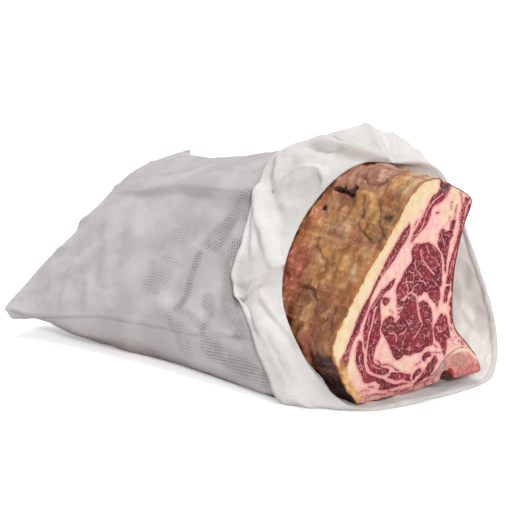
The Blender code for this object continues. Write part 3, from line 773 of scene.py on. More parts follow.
    def side_values(base, side):
        crusted, where, drifted, shift, near, lines, pit, flap = rise(base, side)
        y, s = drifted[:, 0], drifted[:, 1]
        # dark: painted shade in the pits, a few soft dark patches, and the heel, dark dried crust with painted shade
        # where the side turns under
        dark = 1.1 * smoothstep(pit, 0.08, 0.4)
        dark = np.maximum(dark, 0.72 * np.exp(-(((y - 24) / 13) ** 2 + ((s - 237) / 11) ** 2)))
        dark = np.maximum(dark, 0.50 * np.exp(-(((y - 40) / 14) ** 2 + ((s - 173) / 8) ** 2)))
        dark = np.maximum(dark, 0.45 * np.exp(-(((y - 30) / 8) ** 2 + ((s - 214) / 8) ** 2)))
        dark = np.maximum(dark, smoothstep(s, 50, 38) * smoothstep(y, 74, 44) * smoothstep(y, 0, 5))
        red = 0.9 * smoothstep(y, 92, 128) * smoothstep(s, 96, 112) * smoothstep(s, 190, 150)
        red = np.maximum(red, 0.6 * np.exp(-(((y - 6) / 24) ** 2 + ((s - 298) / 7) ** 2)))
        red = np.maximum(red, 0.6 * smoothstep(s, 78, 50) * smoothstep(y, 20, 60))
        red = np.maximum(red, 0.5 * smoothstep(near, 7, 2) * smoothstep(s, 130, 118))
        red = np.maximum(red, 0.45 * smoothstep(y, 110, 150) * smoothstep(s, 190, 230))
        pale = 0.8 * np.exp(-(((y - 26) / 6) ** 2 + ((s - 155) / 9) ** 2))
        pale = np.maximum(pale, 0.55 * smoothstep(s, 262, 284) * smoothstep(y, 52, 22) * smoothstep(y, 4, 12))
        pale = np.maximum(pale, 0.35 * np.exp(-(((y - 100) / 22) ** 2 + ((s - 205) / 20) ** 2)))
        pale = np.maximum(pale, 0.40 * np.exp(-(((y - 142) / 12) ** 2 + ((s - 236) / 9) ** 2)))
        # rusty where the cloth begins, brown beside the face
        rim_depth = np.interp(s, (57, 106, 168, 225, 291), (84, 138, 166, 170, 138))
        rust = smoothstep(y - rim_depth, -44, -8) * smoothstep(s, 84, 112) * (0.55 + 0.45 * smoothstep(s, 200, 130))
        brown = np.exp(-(((y - 20) / 16) ** 2 + ((s - 222) / 34) ** 2))
        sawn = smoothstep(distance_to(base, top), 3.0, 0.8)
        return {"lean": np.full(len(base), -3.0), "vein": np.full(len(base), -6.0),
                "cream": np.full(len(base), 0.6), "rim": np.where(crusted > 0.5, where[:, 0], 20.0),
                "dark": dark * crusted, "heel": np.zeros(len(base)), "ribedge": np.zeros(len(base)),
                "red": red * crusted, "pale": pale * crusted, "crack": np.where(crusted > 0.5, near, 9.0),
                "mauve": flap * crusted, "wrinkle": lines * crusted, "low": 0.85 * smoothstep(s, 175, 90),
                "skin": where, "film": (1 - crusted) * (1 - sawn), "sawn": sawn * (1 - crusted),
                "foot": np.zeros(len(base)), "calm": np.zeros(len(base)), "bloody": np.zeros(len(base)),
                "rust": rust * crusted, "brown": brown * crusted}

    points, faces, front, values = food_block(outline, round_by, stations, 1.45, relief,
                                              face_values, side_values, side_shift)
    piece = add_piece("roast", points, faces, values)
    piece.data.materials.append(cut_face_material())
    piece.data.materials.append(crust_material())
    index = np.ones(len(piece.data.polygons), np.int32)
    index[:front] = 0
    piece.data.polygons.foreach_set("material_index", index)
    turn_out(piece)
    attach(piece, "root")
    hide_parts("rib_meat", "fat_cap")
    return piece


def turn_out(piece):
    """Points every face of a closed mesh outwards."""
    import bmesh
    shape = bmesh.new()
    shape.from_mesh(piece.data)
    bmesh.ops.recalc_face_normals(shape, faces=shape.faces)
    shape.to_mesh(piece.data)
    shape.free()


def chine():
    tip = even(smooth_line(CHINE_TIP, 4), 2.2)
    canal = even(smooth_line(CANAL, 6), 1.6)
    base_line = even(smooth_line(FEATHER_BASE, 4), 2.4)
    top = even(smooth_line(BONE_TOP, 6), 2.2)[::-1]
    runs = (tip, canal, base_line, top)
    outline = np.vstack([run[:-1] for run in runs])
    part = np.concatenate([np.full(len(run) - 1, number) for number, run in enumerate(runs)])
    round_by = np.where(part == 3, 0.25, 1.3)
    round_by = np.where(part == 2, 0.8, round_by)
    stations = [1.6, 3.0] + list(np.arange(6, 60, 4.0)) + list(np.arange(64, 278, 14.0))
    stations += [ROAST_LENGTH - END_ROUNDING + END_ROUNDING * share for share in (0.0, 0.45, 0.75, 0.93, 1.0)]
    marrow = smooth_loop(((163, 38), (170, 40.5), (180, 38), (187.8, 33), (190.5, 26.7), (185.5, 21),
                          (174.4, 21.7), (166, 24), (162, 31)))
    arch = smooth_loop(((143, 26), (146, 30), (152, 33), (155, 28), (153, 24), (147, 23), (140, 17),
                        (134, 9), (130, 8), (134, 18)))
    strip = even(np.array(((98, 3.5), (113, 5), (128, 7))), 3.0)
    blood = smooth_loop(((156, 20), (161, 22), (166, 18), (168, 8), (157, 7.5), (158, 13)))

    def relief(flat):
        soft = rough(np.column_stack((flat[:, 0], np.zeros(len(flat)), flat[:, 1])), 12.0, 9.0)
        height = soft * 0.8 + smoothstep(depth_inside(flat, marrow), -1.5, 1.5) * 0.8
        return 0.9 + height * smoothstep(distance_to(flat, top), 0.3, 4.0)

    def values(flat, depth):
        x, z = flat[:, 0], flat[:, 1]
        from_top = distance_to(flat, top)
        arch_depth = np.maximum(depth_inside(flat, arch), 1.7 - distance_to(flat, strip))
        cream = smoothstep(from_top, 7, 3) * smoothstep(x, 158, 172) * 0.85
        front = smoothstep(depth, 6, 1)
        return {"marrow": np.where(depth < 3, depth_inside(flat, marrow), -6.0),
                "arch": np.where(depth < 3, arch_depth, -6.0),
                "blood": np.where(depth < 8, depth_inside(flat, blood), -6.0),
                "salmon": smoothstep(z, 24, 18) * smoothstep(x, 166, 172) * 0.8 * front,
                "cream": cream * front, "thin": smoothstep(x, 140, 126) * front,
                "black": smoothstep(distance_to(flat, canal), 2.2, 0.6) * smoothstep(depth, 0.0, 2.0),
                "side": smoothstep(depth, 1.0, 5.0)}

    points, faces, front, named = food_block(
        outline, round_by, stations, 1.3, relief, lambda flat: values(flat, np.zeros(len(flat))),
        lambda base, side: values(base, side[:, 1]),
        lambda section, ring: rough(ring, 14.0, 4.0) * 0.7 * smoothstep(ring[:, 1], 0, 10) * (distance_to(section, top) > 2))
    piece = add_piece("chine", points, faces, named)
    piece.data.materials.append(bone_material())
    turn_out(piece)
    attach(piece, "root")
    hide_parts("chine_bone")
    return piece


# ---- the bag

def blend_weights(t):
    return np.stack((-t ** 3 + 2 * t ** 2 - t, 3 * t ** 3 - 5 * t ** 2 + 2,
                     -3 * t ** 3 + 4 * t ** 2 + t, t ** 3 - t ** 2), axis=-1) * 0.5


def net_points(columns, rows):
    """Points of the bag's smooth net for arrays of columns and rows of the same shape."""
    columns, rows = np.broadcast_arrays(np.asarray(columns, float), np.asarray(rows, float))
    count, last = BAG_NET.shape[1], BAG_NET.shape[0] - 1
    padded = np.concatenate(((2 * BAG_NET[0] - BAG_NET[1])[None], BAG_NET, (2 * BAG_NET[last] - BAG_NET[last - 1])[None]))
    column = np.floor(columns).astype(int)
    row = np.clip(np.floor(rows).astype(int), 0, last - 1)
    across, along = blend_weights(columns - column), blend_weights(rows - row)
    total = np.zeros(columns.shape + (3,))
    for a in range(4):
        for b in range(4):
            corner = padded[row + b, (column + a - 1) % count]
            total += (across[..., a] * along[..., b])[..., None] * corner
    total[..., 2] = np.maximum(total[..., 2], FLOOR)
    return total


def net_normals(columns, rows):
    step = 0.03
    across = net_points(columns + step, rows) - net_points(columns - step, rows)
    top = len(BAG_NET) - 1.0
    along = net_points(columns, np.minimum(rows + step, top)) - net_points(columns, np.maximum(rows - step, 0.0))
    normal = np.cross(across, along)
    return normal / np.maximum(np.linalg.norm(normal, axis=-1), 1e-9)[..., None]


def outside_roast(points, cover, reach=14.0, hug=None):
    """Pushes points near the roast out to the given cover over it; hug pulls far ones in to it."""
    outline = np.vstack([smooth_line(line, 3)[:-1] for line in
                         (CRUST_SIDE, SAWN_TOP, RIB_SIDE, CHINE_TIP, ((166, 7.5), (143, 8)), FEATHER_BASE, FOOT, HEEL)])
    flat = points.reshape(-1, 3).copy()
    shape = points.shape
    cover = np.broadcast_to(cover, shape[:-1]).ravel()
    scale = end_scale(flat[:, 1])
    where = SECTION_CENTRE + (flat[:, (0, 2)] - SECTION_CENTRE) / scale[:, None]
    best = np.full(len(flat), 1e9)
    normal = np.zeros((len(flat), 2))
    side = np.zeros(len(flat))
    for start, end in zip(outline, np.roll(outline, -1, axis=0)):
        edge = end - start
        away = where - start
        along = np.clip(away @ edge / (edge @ edge), 0.0, 1.0)
        away = away - along[:, None] * edge
        far = np.einsum("ij,ij->i", away, away)
        nearer = far < best
        best[nearer] = far[nearer]
        out = np.array((-edge[1], edge[0])) / np.linalg.norm(edge)
        normal[nearer] = out
        side[nearer] = (away @ out)[nearer]
    far = np.sqrt(best)
    short = np.maximum(0.0, cover - side * scale)
    move = short * (far < reach) * (flat[:, 1] > -2) * smoothstep(flat[:, 1], ROAST_LENGTH + 12, ROAST_LENGTH)
    if hug is not None:
        loose = np.maximum(0.0, side * scale - cover) * (far < 60.0) * (flat[:, 1] > 0)
        move = move - loose * hug.ravel()
    flat[:, 0] += normal[:, 0] * move
    flat[:, 2] += normal[:, 1] * move
    flat[:, 2] = np.maximum(flat[:, 2], FLOOR)
    return flat.reshape(shape)


SIDE_SEAM = ((0.94, 6.7), (0.9, 5.8), (0.95, 4.95), (0.98, 4.15), (0.95, 3.2), (1.1, 2.75), (1.4, 2.45), (1.7, 2.1))
UNDER_CREASE = ((5.0, 5.8), (4.93, 5.45), (4.83, 4.65), (4.93, 4.0), (4.83, 3.25), (4.93, 2.7), (5.0, 2.3))
# folds of the cloth: (height, half width on the left side, on the right side, ((column, row), ...))
BODY_FOLDS = (
    (1.8, 3.0, 2.4, ((5.0, 5.8), (4.93, 5.45), (4.83, 4.65), (4.93, 4.0), (4.83, 3.25), (4.93, 2.7), (5.0, 2.3))),
    (5.0, 26, 9, ((5.05, 5.9), (5.05, 5.45), (4.95, 4.65), (5.05, 4.0), (4.95, 3.25), (5.05, 2.7), (5.1, 2.2))),
    (4.0, 16, 22, ((4.6, 4.9), (3.8, 4.4), (3.3, 4.1), (2.6, 4.0), (2.0, 3.9), (1.4, 3.8))),
    (3.4, 14, 14, ((4.3, 5.2), (3.4, 4.75), (2.6, 4.5), (1.85, 4.3))),
    (3.6, 12, 20, ((4.3, 3.3), (3.9, 3.0), (3.35, 2.85), (2.8, 2.75), (2.2, 2.7), (1.6, 2.75))),
    (3.2, 10, 12, ((4.75, 2.55), (4.3, 2.42), (3.8, 2.32), (3.15, 2.22))),
    (2.2, 7, 7, ((2.9, 5.4), (2.4, 5.3), (2.0, 5.25), (1.2, 5.15))),
    (2.0, 7, 7, ((2.3, 4.8), (1.8, 4.7), (1.2, 4.6))),
    (2.2, 8, 8, ((2.5, 5.9), (2.0, 5.7), (1.4, 5.6))),
    (2.6, 10, 10, ((1.9, 3.3), (1.5, 3.0), (1.2, 2.7))),
    (2.4, 9, 9, ((1.9, 2.9), (1.6, 2.6), (1.4, 2.3))),
    (2.4, 10, 8, ((5.6, 5.6), (5.7, 5.0), (5.6, 4.4))),
    (2.2, 12, 8, ((6.0, 3.9), (5.7, 3.5), (5.5, 3.0))),
    (3.0, 9, 9, ((6.9, 5.0), (6.9, 5.8), (6.95, 6.6))),
    (2.6, 8, 8, ((1.5, 6.7), (1.8, 6.3), (2.2, 5.9))),
    (2.4, 8, 8, ((0.4, 5.2), (0.5, 4.4), (0.6, 3.6))),
    (3.0, 12, 12, ((8.4, 5.4), (8.6, 4.6), (8.3, 3.8), (8.5, 3.0))),
    (3.4, 14, 10, ((9.4, 5.2), (9.3, 4.4), (9.6, 3.6), (9.5, 2.9))),
    (3.0, 10, 14, ((10.2, 4.8), (10.0, 4.0), (10.2, 3.2), (10.0, 2.5))),
    (2.6, 10, 10, ((9.0, 5.9), (9.2, 5.5), (9.8, 5.2))),
    (2.6, 12, 12, ((7.6, 4.9), (7.7, 4.0), (7.5, 3.0))),
    (2.4, 8, 8, ((3.2, 6.6), (3.3, 6.1), (3.4, 5.7))), (2.4, 8, 8, ((4.3, 6.6), (4.2, 6.1), (4.3, 5.8))),
    (2.4, 8, 8, ((5.4, 6.6), (5.3, 6.2), (5.4, 5.8))), (2.4, 8, 8, ((6.3, 6.7), (6.2, 6.2), (6.0, 5.8))),
)
CUFF_FOLDS = (
    (2.8, 2.5, 15, ((6.5, 1.7), (6.42, 1.15), (6.38, 0.75), (6.5, 0.35), (6.7, -0.02))),
    (2.4, 2.5, 13, ((7.12, 1.3), (7.05, 0.9), (6.95, 0.4), (6.78, 0.0))),
    (-4.0, 5, 9, ((6.2, 1.3), (6.2, 0.8), (6.32, 0.4))),
    (5.0, 5, 2.5, ((5.35, 1.05), (5.5, 0.95), (5.66, 0.7), (5.68, 0.4), (5.5, 0.15), (5.3, 0.12))),
    (-4.0, 6, 6, ((5.4, 0.75), (5.5, 0.45))),
    (2.5, 8, 5, ((7.5, 1.1), (7.35, 0.8), (7.15, 0.3), (7.0, 0.0))),
    (2.0, 7, 6, ((7.9, 0.9), (7.8, 0.6), (7.6, 0.15))),
    (3.5, 6, 6, ((5.95, 1.9), (5.85, 1.6), (5.6, 1.35), (5.35, 1.25))),
    (3.0, 6, 5, ((4.7, 1.9), (4.5, 1.6), (4.1, 1.4), (3.7, 1.3))),
    (3.0, 7, 5, ((2.3, 1.9), (2.0, 1.5), (1.8, 1.2))),
    (2.6, 5, 5, ((3.0, 0.9), (2.5, 0.55), (2.0, 0.2))),
    (5.5, 11, 7, ((5.35, 2.0), (5.2, 1.9), (4.9, 1.65), (4.5, 1.25), (4.15, 0.9), (3.6, 0.5), (3.35, 0.0))),
    (-2.4, 8, 8, ((5.6, 1.7), (5.2, 1.3), (4.8, 0.8), (4.4, 0.4))),
    (3.0, 9, 9, ((2.6, 1.5), (2.2, 1.0), (1.7, 0.75), (1.2, 0.7), (0.7, 0.8))),
    (-2.5, 7, 7, ((2.4, 0.8), (2.0, 0.4), (1.5, 0.35))),
    (2.6, 8, 10, ((6.1, 1.6), (5.8, 1.3), (5.6, 1.25), (5.3, 1.4))),
    (1.6, 8, 8, ((2.6, 1.8), (2.2, 1.2), (2.0, 0.5))), (1.6, 8, 8, ((1.5, 1.9), (1.3, 1.2), (1.2, 0.4))),
    (1.8, 8, 8, ((6.1, 1.9), (6.0, 1.4), (5.9, 0.9))), (1.4, 7, 7, ((5.0, 1.5), (5.0, 0.9), (4.9, 0.2))),
    (1.6, 8, 8, ((7.5, 1.8), (7.6, 1.1), (7.5, 0.3))), (1.8, 10, 8, ((8.3, 1.8), (8.2, 1.0), (8.3, 0.2))),
    (1.8, 10, 8, ((9.3, 1.8), (9.4, 1.0), (9.3, 0.1))), (1.8, 8, 8, ((10.2, 1.8), (10.1, 1.0), (10.2, 0.2))),
)
INNER_FOLDS = (
    (6.0, 14, 8, ((9.3, 0.2), (9.45, 0.8), (9.3, 1.4), (9.5, 2.0))),
    (5.0, 10, 12, ((9.9, 0.1), (10.0, 0.7), (9.85, 1.3), (10.0, 2.0))),
    (4.0, 9, 9, ((8.4, 0.3), (8.6, 0.9), (8.5, 1.6))),
    (4.5, 9, 12, ((10.5, 0.3), (10.4, 0.9), (10.5, 1.6))),
    (3.0, 8, 8, ((8.9, 0.1), (9.0, 0.6), (8.9, 1.2))),
)


FOLD_GAIN = 1.5
CUFF_GAIN = 1.5


def fold_height(points, normals, columns, folds):
    """Height of the folds over each point; a fold is steep on its narrow side."""
    flat, up = points.reshape(-1, 3), normals.reshape(-1, 3)
    at = columns.reshape(-1)
    total = np.zeros(len(flat))
    for height, left, right, line in folds:
        track = smooth_line(line, 6)
        path = net_points(track[:, 0], track[:, 1])
        near = np.abs((at - track[:, 0].mean() + 6.5) % 13 - 6.5) < np.ptp(track[:, 0]) / 2 + 1.6
        chosen = np.where(near)[0]
        best = np.full(len(chosen), 1e9)
        side = np.zeros(len(chosen))
        lengths = np.linspace(0, 1, len(path))
        share = np.zeros(len(chosen))
        for index in range(len(path) - 1):
            edge = path[index + 1] - path[index]
            away = flat[chosen] - path[index]
            along = np.clip(away @ edge / max(edge @ edge, 1e-9), 0.0, 1.0)
            away = away - along[:, None] * edge
            far = np.einsum("ij,ij->i", away, away)
            nearer = far < best
            best[nearer] = far[nearer]
            turned = np.einsum("ij,ij->i", np.cross(edge, up[chosen]), away)
            side[nearer] = np.sign(turned)[nearer]
            share[nearer] = (lengths[index] + along * (lengths[index + 1] - lengths[index]))[nearer]
        width = np.where(side < 0, left, right)
        fade = np.sin(np.clip(share, 0.0, 1.0) * math.pi) ** 0.6
        total[chosen] += FOLD_GAIN * height * fade * np.exp(-(np.sqrt(best) / width) ** 2)
    return total.reshape(columns.shape)


def seam_height(points, path, half, height):
    away = distance_to(points.reshape(-1, 3), path)
    return (height * smoothstep(away, half * 1.5, half * 0.5)).reshape(points.shape[:-1])


def arc_lengths(grid):
    """Thread coordinates in mm: around each ring by share of its girth, and along each column."""
    beside = np.linalg.norm(np.roll(grid, -1, axis=1) - grid, axis=2)
    girth = np.cumsum(beside, axis=1) - beside
    around = girth / beside.sum(axis=1)[:, None] * 920.0
    ahead = np.linalg.norm(np.diff(grid, axis=0), axis=2)
    along = np.vstack((np.zeros(grid.shape[1]), np.cumsum(ahead, axis=0)))
    return np.stack((around, along), axis=-1)


def cloth_material(name, tint, shade, open_share):
    """Plain woven cotton: threads over and under, with looser darker patches."""
    g = Graph(name)
    place = g.position()
    threads = g.attribute("weave", "Vector")
    wander = g.node("ShaderNodeTexNoise", output="Color", Vector=place, Scale=75.0, Detail=2.0)
    centred = g.node("ShaderNodeVectorMath", settings={"operation": "SUBTRACT"}, i0=wander, i1=(0.5, 0.5, 0.5))
    moved = g.node("ShaderNodeVectorMath", settings={"operation": "SCALE"}, i0=centred, Scale=4.0)
    threads = g.node("ShaderNodeVectorMath", settings={"operation": "ADD"}, i0=threads, i1=moved)
    split = g.tree.nodes.new("ShaderNodeSeparateXYZ")
    g.put(split.inputs[0], threads)
    pitch = 3.7
    across = g.math("SINE", g.math("MULTIPLY", split.outputs[0], math.pi / pitch))
    along = g.math("SINE", g.math("MULTIPLY", split.outputs[1], math.pi / pitch))
    warp = g.math("ABSOLUTE", across)
    weft = g.math("ABSOLUTE", along)
    over = g.step(g.math("MULTIPLY", across, along), -0.25, 0.25)
    thread = g.math("ADD", g.math("MULTIPLY", over, warp), g.math("MULTIPLY", g.math("SUBTRACT", 1.0, over), weft))
    gap = g.math("MULTIPLY", g.step(warp, 0.2, 0.92, 1.0, 0.0), g.step(weft, 0.2, 0.92, 1.0, 0.0))
    loose = g.math("MULTIPLY", g.attribute("open"), open_share)
    patchy = g.step(g.noise(place, 22.0, 3.0, 0.6), 0.34, 0.6, 0.35, 1.0)
    tone = g.noise(place, 55.0, 3.0, 0.5)
    base = g.mix(g.step(tone, 0.35, 0.65), tint, shade)
    base = g.mix(g.math("MULTIPLY", g.step(g.noise(place, 7.0, 3.0, 0.7), 0.5, 0.75), 0.25), base, shade)
    worn = g.math("MULTIPLY", loose, patchy)
    base = g.mix(g.math("MULTIPLY", worn, 0.4), base, (146, 139, 134))
    # brownish tint: painted shade, and on the body also the meat's juice stain
    base = g.mix(g.attribute("stain_and_shade"), base, g.mix(g.step(tone, 0.4, 0.6), (158, 136, 128), (128, 106, 98)))
    dark = g.math("MULTIPLY", gap, g.math("ADD", 0.07, g.math("MULTIPLY", worn, 1.3), clamp=True))
    base = g.mix(dark, base, (66, 60, 56))
    # painted shade: dark lines along the seams, under the crease and beside the pleat
    base = g.mix(g.math("MULTIPLY", g.attribute("line"), 0.65), base, (136, 124, 114))
    height = g.math("MULTIPLY", thread, g.math("ADD", 0.4, g.math("MULTIPLY", loose, 0.8)))
    height = g.math("ADD", height, g.math("MULTIPLY", g.noise(place, 9.0, 4.0, 0.65), 1.6))
    return g.finish(Base_Color=base, Roughness=0.92, Normal=g.bump(height, 0.7, 0.75), Specular_IOR_Level=0.15,
                    Sheen_Weight=0.15, Sheen_Roughness=0.6, Emission_Color=base,
                    Emission_Strength=g.math("MULTIPLY", g.attribute("glow"), 0.78))


# where the body's weave stands open, stretched over the roast: (half width, strength, ((column, row), ...))
OPEN_WEAVE = (
    (17, 1.0, ((4.85, 2.5), (4.5, 2.6), (4.0, 2.75), (3.7, 2.8))),
    (13, 1.0, ((4.0, 2.15), (3.4, 2.2), (2.8, 2.25), (2.2, 2.25), (1.8, 2.2))),
    (9, 1.0, ((3.2, 2.95), (2.7, 2.9), (2.2, 2.85), (1.7, 2.9))),
    (14, 0.9, ((0.9, 2.6), (0.8, 2.35), (0.6, 2.15))),
    (8, 0.8, ((2.3, 2.6), (1.8, 2.55), (1.4, 2.6))),
    (26, 0.45, ((3.7, 3.4), (3.0, 3.5), (2.2, 3.4))),
    (16, 0.5, ((1.5, 2.9), (0.7, 2.8))),
)


def open_weave(points):
    flat = points.reshape(-1, 3)
    total = np.full(len(flat), 0.10)
    for half, strength, line in OPEN_WEAVE:
        track = smooth_line(line, 4)
        away = distance_to(flat, net_points(track[:, 0], track[:, 1]))
        total = np.maximum(total, strength * smoothstep(away, half * 1.35, half * 0.55))
    return total


def line_mark(points, tracks, half):
    """1 on thin lines over the cloth, given in net columns and rows."""
    flat = points.reshape(-1, 3)
    near = np.full(len(flat), 1e9)
    for line in tracks:
        track = smooth_line(line, 6)
        near = np.minimum(near, distance_to(flat, net_points(track[:, 0], track[:, 1])))
    return smoothstep(near, half * 1.6, half * 0.4)


def shell(name, grid, values, thickness):
    """A closed thin sheet from a tube-shaped grid of outer points."""
    rings, around = grid.shape[:2]
    piece = add_piece(name, grid.reshape(-1, 3), ring_faces(0, rings, around), values)
    solid = piece.modifiers.new("cloth", "SOLIDIFY")
    solid.thickness = thickness * MM
    solid.offset = 0.0
    bpy.context.view_layer.objects.active = piece
    piece.select_set(True)
    bpy.ops.object.modifier_apply(modifier=solid.name)
    piece.select_set(False)
    return piece


def dress(piece, finish):
    piece.data.materials.append(finish)
    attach(piece, "root")
    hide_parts("cloth_bag")


def bag_body():
    rows = np.concatenate((np.linspace(1.35, 2.0, 8), np.linspace(2.0, 3.0, 56)[1:], np.linspace(3, 4, 34)[1:],
                           np.linspace(4, 5, 34)[1:], np.linspace(5, 6, 26)[1:], np.linspace(6, 7, 22)[1:]))
    around = 13 * 20
    columns = (12.5 + np.arange(around) / 20.0) % 13.0
    columns, rows = np.meshgrid(columns, rows)
    points = net_points(columns, rows)
    normals = net_normals(columns, rows)
    flat = points.reshape(-1, 3)
    under = 3.4 * smoothstep(rows, 2.35, 2.02)
    lift = 1.35 * fold_height(points, normals, columns, BODY_FOLDS)
    soft = (rough(flat, 70.0, 2.0) * 1.8 + rough(flat * (1.0, 0.5, 0.35), 15.0, 6.0) * 1.5).reshape(rows.shape)
    end = smoothstep(rows, 7.0, 6.6)
    lift = (lift - 1.6 + soft) * end * smoothstep(rows, 1.95, 2.25) - under
    lift *= np.where(points[..., 2] < FLOOR + 0.5, smoothstep(normals[..., 2], -1.0, -0.9), 1.0)
    # the side seam's folded edge
    seam = smooth_line([(column + 0.06, row) for column, row in SIDE_SEAM], 8)
    lift = lift + seam_height(points, net_points(seam[:, 0], seam[:, 1]), 4.0, 2.2)
    points = points + normals * lift[..., None]
    points = outside_roast(points, 3.2)
    points[..., 2] = np.maximum(points[..., 2], FLOOR + 0.7)
    # the end seam presses both sides of the bag together
    edge = net_points(np.linspace(0.9, 7.5, 160), 7.0)
    final = points[-1]
    nearest = edge[np.argmin(np.linalg.norm(final[:, None] - edge[None], axis=2), axis=1)]
    points = points + (nearest - final)[None] * smoothstep(rows, 6.72, 7.0)[..., None]
    # painted shade and the meat's juice stain: a brownish strip near the floor under the side seam, and a fainter
    # painted shade along the floor all round
    stain_and_shade = 0.4 * smoothstep(points[..., 2], 26, 6) * smoothstep(rows, 2.9, 3.4) * smoothstep(rows, 6.0, 5.4)
    stain_and_shade = stain_and_shade * smoothstep(columns, 1.0, 0.85) * (columns < 6) + 0.25 * smoothstep(points[..., 2], 16, -4) * smoothstep(rows, 2.2, 2.8)
    stain_and_shade = np.clip(stain_and_shade, 0.0, 1.0)
    # line values: painted shade along the side seam and under the crease below the top
    values = {"weave": arc_lengths(points).reshape(-1, 2), "open": open_weave(points), "glow": np.zeros(rows.size),
              "line": np.maximum(0.8 * line_mark(points, (SIDE_SEAM,), 1.7), 0.3 * line_mark(points, (UNDER_CREASE,), 1.6)),
              "stain_and_shade": stain_and_shade.ravel()}
    piece = shell("bag_body", points, values, 1.3)
    dress(piece, cloth_material("body_cotton", (189, 185, 186), (176, 171, 171), 1.0))
    return piece


def cuff():
    """The folded-out cuff from its hem over the rim and down the open mouth's inner wall."""
    around = 13 * 24
    start = (12.5 + np.arange(around) / 24.0) % 13.0
    outer = np.concatenate((np.linspace(2.0, 1.0, 24), np.linspace(1.0, 0.0, 28)[1:]))
    inner = np.concatenate((np.linspace(0.0, 1.0, 22)[1:], np.linspace(1.0, 2.0, 18)[1:], np.linspace(2.0, 2.6, 14)[1:]))
    rows = np.concatenate(([1.8, 1.9, 1.97, 1.995], outer, [0.0], inner))
    hem = 4
    turn = hem + len(outer)
    offset = np.concatenate(([-3.4, -3.3, -3.0, -1.4], np.zeros(len(outer)), [-1.8],
                             -3.6 - 1.0 * smoothstep(inner, 0.0, 0.4)))
    columns, rows = np.meshgrid(start, rows)
    points = net_points(columns, rows)
    normals = net_normals(columns, rows)
    offset = np.repeat(offset[:, None], around, axis=1)
    flat = points.reshape(-1, 3)
    ripple = (rough(flat, 40.0, 8.0) * 2.0 + rough(flat, 15.0, 3.0) * 1.0).reshape(rows.shape)
    on_outer = np.zeros(rows.shape)
    on_outer[hem:turn] = 1.0
    folds = CUFF_GAIN * fold_height(points, normals, columns, CUFF_FOLDS)
    inner_folds = fold_height(points, normals, columns, INNER_FOLDS)
    lift = offset + (folds + ripple) * smoothstep(on_outer, 0, 1)
    lift -= np.maximum(0.0, inner_folds + ripple * 1.5 + 1.5) * (1 - on_outer) * (np.arange(len(rows))[:, None] > turn)
    lift -= 3.0 * (1 - on_outer) * smoothstep(rows, 1.6, 2.3) * (np.arange(len(rows))[:, None] > turn)
    # overlocked seam on the left, gathered seam on top, stitched line along the hem
    share = np.linspace(0, 1, 40)
    left_seam = net_points(np.interp(share, (0, 0.5, 1), (2.75, 3.15, 3.45)), np.interp(share, (0, 0.5, 1), (2.0, 1.0, 0.0)))
    top_seam = net_points(np.interp(share, (0, 0.5, 1), (7.0, 7.0, 6.8)), np.interp(share, (0, 0.5, 1), (2.0, 1.0, 0.0)))
    seams = seam_height(points, left_seam, 2.4, 4.4) + seam_height(points, top_seam, 2.2, 3.0)
    seams = seams + 3.6 * smoothstep(columns, 3.1, 3.25) * smoothstep(columns, 4.2, 3.4) * smoothstep(rows, 0.0, 0.4)
    hem_line = smoothstep(np.abs(rows - 1.86), 0.05, 0.01)
    lift = lift + (seams - 0.7 * hem_line) * on_outer
    # the hem stands out a little from the body, with a stepped edge at the left seam
    lift = lift + 2.6 * smoothstep(rows, 1.8, 2.0) * on_outer
    points = points + normals * lift[..., None]
    notch = smoothstep(columns, 2.72, 2.8) * smoothstep(columns, 4.2, 3.2) * smoothstep(rows, 1.4, 2.0) * on_outer
    along = net_points(columns, np.minimum(rows + 0.1, 7)) - net_points(columns, rows)
    along /= np.maximum(np.linalg.norm(along, axis=-1), 1e-9)[..., None]
    below = smoothstep(columns, 2.72, 2.6) * smoothstep(columns, 1.2, 2.3) * smoothstep(rows, 1.4, 2.0) * on_outer
    points = points + along * (notch * 9.0 - below * 7.0)[..., None]
    is_inner = (np.arange(len(rows))[:, None] > turn) * 1.0
    beside = np.maximum(smoothstep(columns, 8.7, 7.9) * smoothstep(columns, 0.2, 1.0), 0.0)
    cover = 1.6 + (1 - is_inner) * (0.6 + 2.2 * smoothstep(rows, 0.0, 0.35))
    points = outside_roast(points, cover, hug=is_inner * beside * smoothstep(rows, 0.0, 0.35))
    points[..., 2] = np.maximum(points[..., 2], FLOOR + 0.7)
    # light that comes through the single cloth of the open wall beside the roast
    glow = is_inner * smoothstep(rows, 0.0, 0.2) * smoothstep(columns, 7.6, 8.6) * smoothstep(columns, 11.6, 10.6)
    glow = glow * smoothstep(rows, 2.6, 1.2)
    # painted shade: dark lines along the left and top seams, and a painted shadow line beside the pleat
    marks = line_mark(points, (((2.72, 2.0), (3.12, 1.0), (3.4, 0.0)), ((7.1, 1.2), (7.04, 0.8), (6.94, 0.3), (6.78, 0.0)),
                               ((6.48, 1.0), (6.46, 0.7), (6.58, 0.3), (6.74, 0.0))), 1.9)
    # painted shadow under the pleat at the top of the cuff, and tan painted shade on the inner wall at the right, both
    # for the cloth's brownish tint
    shade = 0.5 * smoothstep(distance_to(points.reshape(-1, 3), net_points((6.25, 6.4, 6.6), (0.5, 0.2, 0.0))), 16, 3).reshape(rows.shape)
    from_inner_shade = distance_to(points.reshape(-1, 3), net_points((9.3, 9.9), (0.45, 0.5))).reshape(rows.shape)
    stain_and_shade = shade * on_outer + 0.28 * is_inner * smoothstep(from_inner_shade, 46, 8)
    values = {"weave": arc_lengths(points).reshape(-1, 2), "open": np.full(rows.size, 0.04),
              "glow": glow.ravel(), "line": marks * on_outer.ravel(), "stain_and_shade": stain_and_shade.ravel()}
    piece = shell("cuff", points, values, 1.4)
    dress(piece, cloth_material("cuff_cotton", (218, 215, 212), (207, 204, 200), 1.0))
    return piece


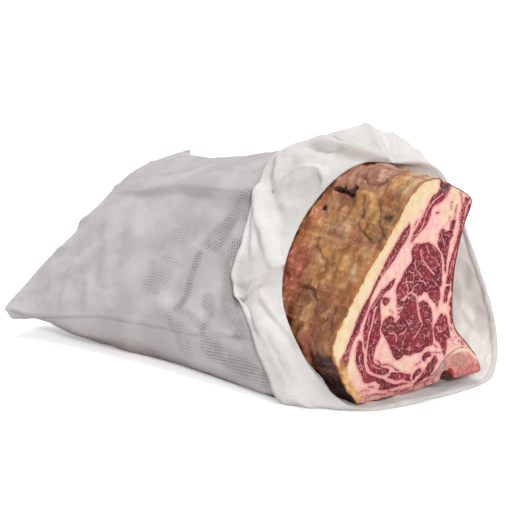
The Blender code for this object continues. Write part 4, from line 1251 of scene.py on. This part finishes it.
# ---- stage, light and camera

def sun(name, towards, spread, strength):
    """A soft light from the direction given."""
    data = bpy.data.lights.new(name, "SUN")
    data.angle = math.radians(spread)
    data.energy = strength
    made = bpy.data.objects.new(name, data)
    bpy.context.scene.collection.objects.link(made)
    made.rotation_euler = Vector(towards).to_track_quat("Z", "Y").to_euler()


def stage():
    mesh = bpy.data.meshes.new("floor")
    mesh.from_pydata([(-30, -30, 0), (30, -30, 0), (30, 30, 0), (-30, 30, 0)], [], [(0, 1, 2, 3)])
    floor = bpy.data.objects.new("floor", mesh)
    bpy.context.scene.collection.objects.link(floor)
    g = Graph("white_floor")
    rays = g.node("ShaderNodeLightPath", output="Is Camera Ray")
    mesh.materials.append(g.finish(Base_Color=colour((246, 246, 246)), Roughness=1.0, Specular_IOR_Level=0.0,
                                   Emission_Color=(1, 1, 1, 1), Emission_Strength=g.math("MULTIPLY", rays, 0.36)))

    sun("key", (-0.40, -1.0, 0.55), 12, 1.62)
    sun("top", (0.2, 0.3, 1.0), 30, 2.05)

    world = bpy.data.worlds.new("studio")
    bpy.context.scene.world = world
    world.use_nodes = True
    tree = world.node_tree
    back = tree.nodes["Background"]
    back.inputs["Color"].default_value = (1, 1, 1, 1)
    rays = tree.nodes.new("ShaderNodeLightPath")
    strength = tree.nodes.new("ShaderNodeMapRange")
    strength.inputs["To Min"].default_value = 0.42
    strength.inputs["To Max"].default_value = 1.0
    tree.links.new(rays.outputs["Is Camera Ray"], strength.inputs["Value"])
    tree.links.new(strength.outputs[0], back.inputs["Strength"])

    scene = bpy.context.scene
    scene.view_settings.view_transform = "Standard"
    data = bpy.data.cameras.new("camera")
    data.sensor_width = 36.0
    data.lens = 186.68
    data.clip_end = 100
    camera = bpy.data.objects.new("camera", data)
    scene.collection.objects.link(camera)
    camera.location = (-1.99271, -2.87706, 0.91584)
    camera.rotation_euler = (math.radians(77.3747), 0.0, math.radians(-34.9245))
    scene.camera = camera


roast()
chine()
bag_body()
cuff()
stage()
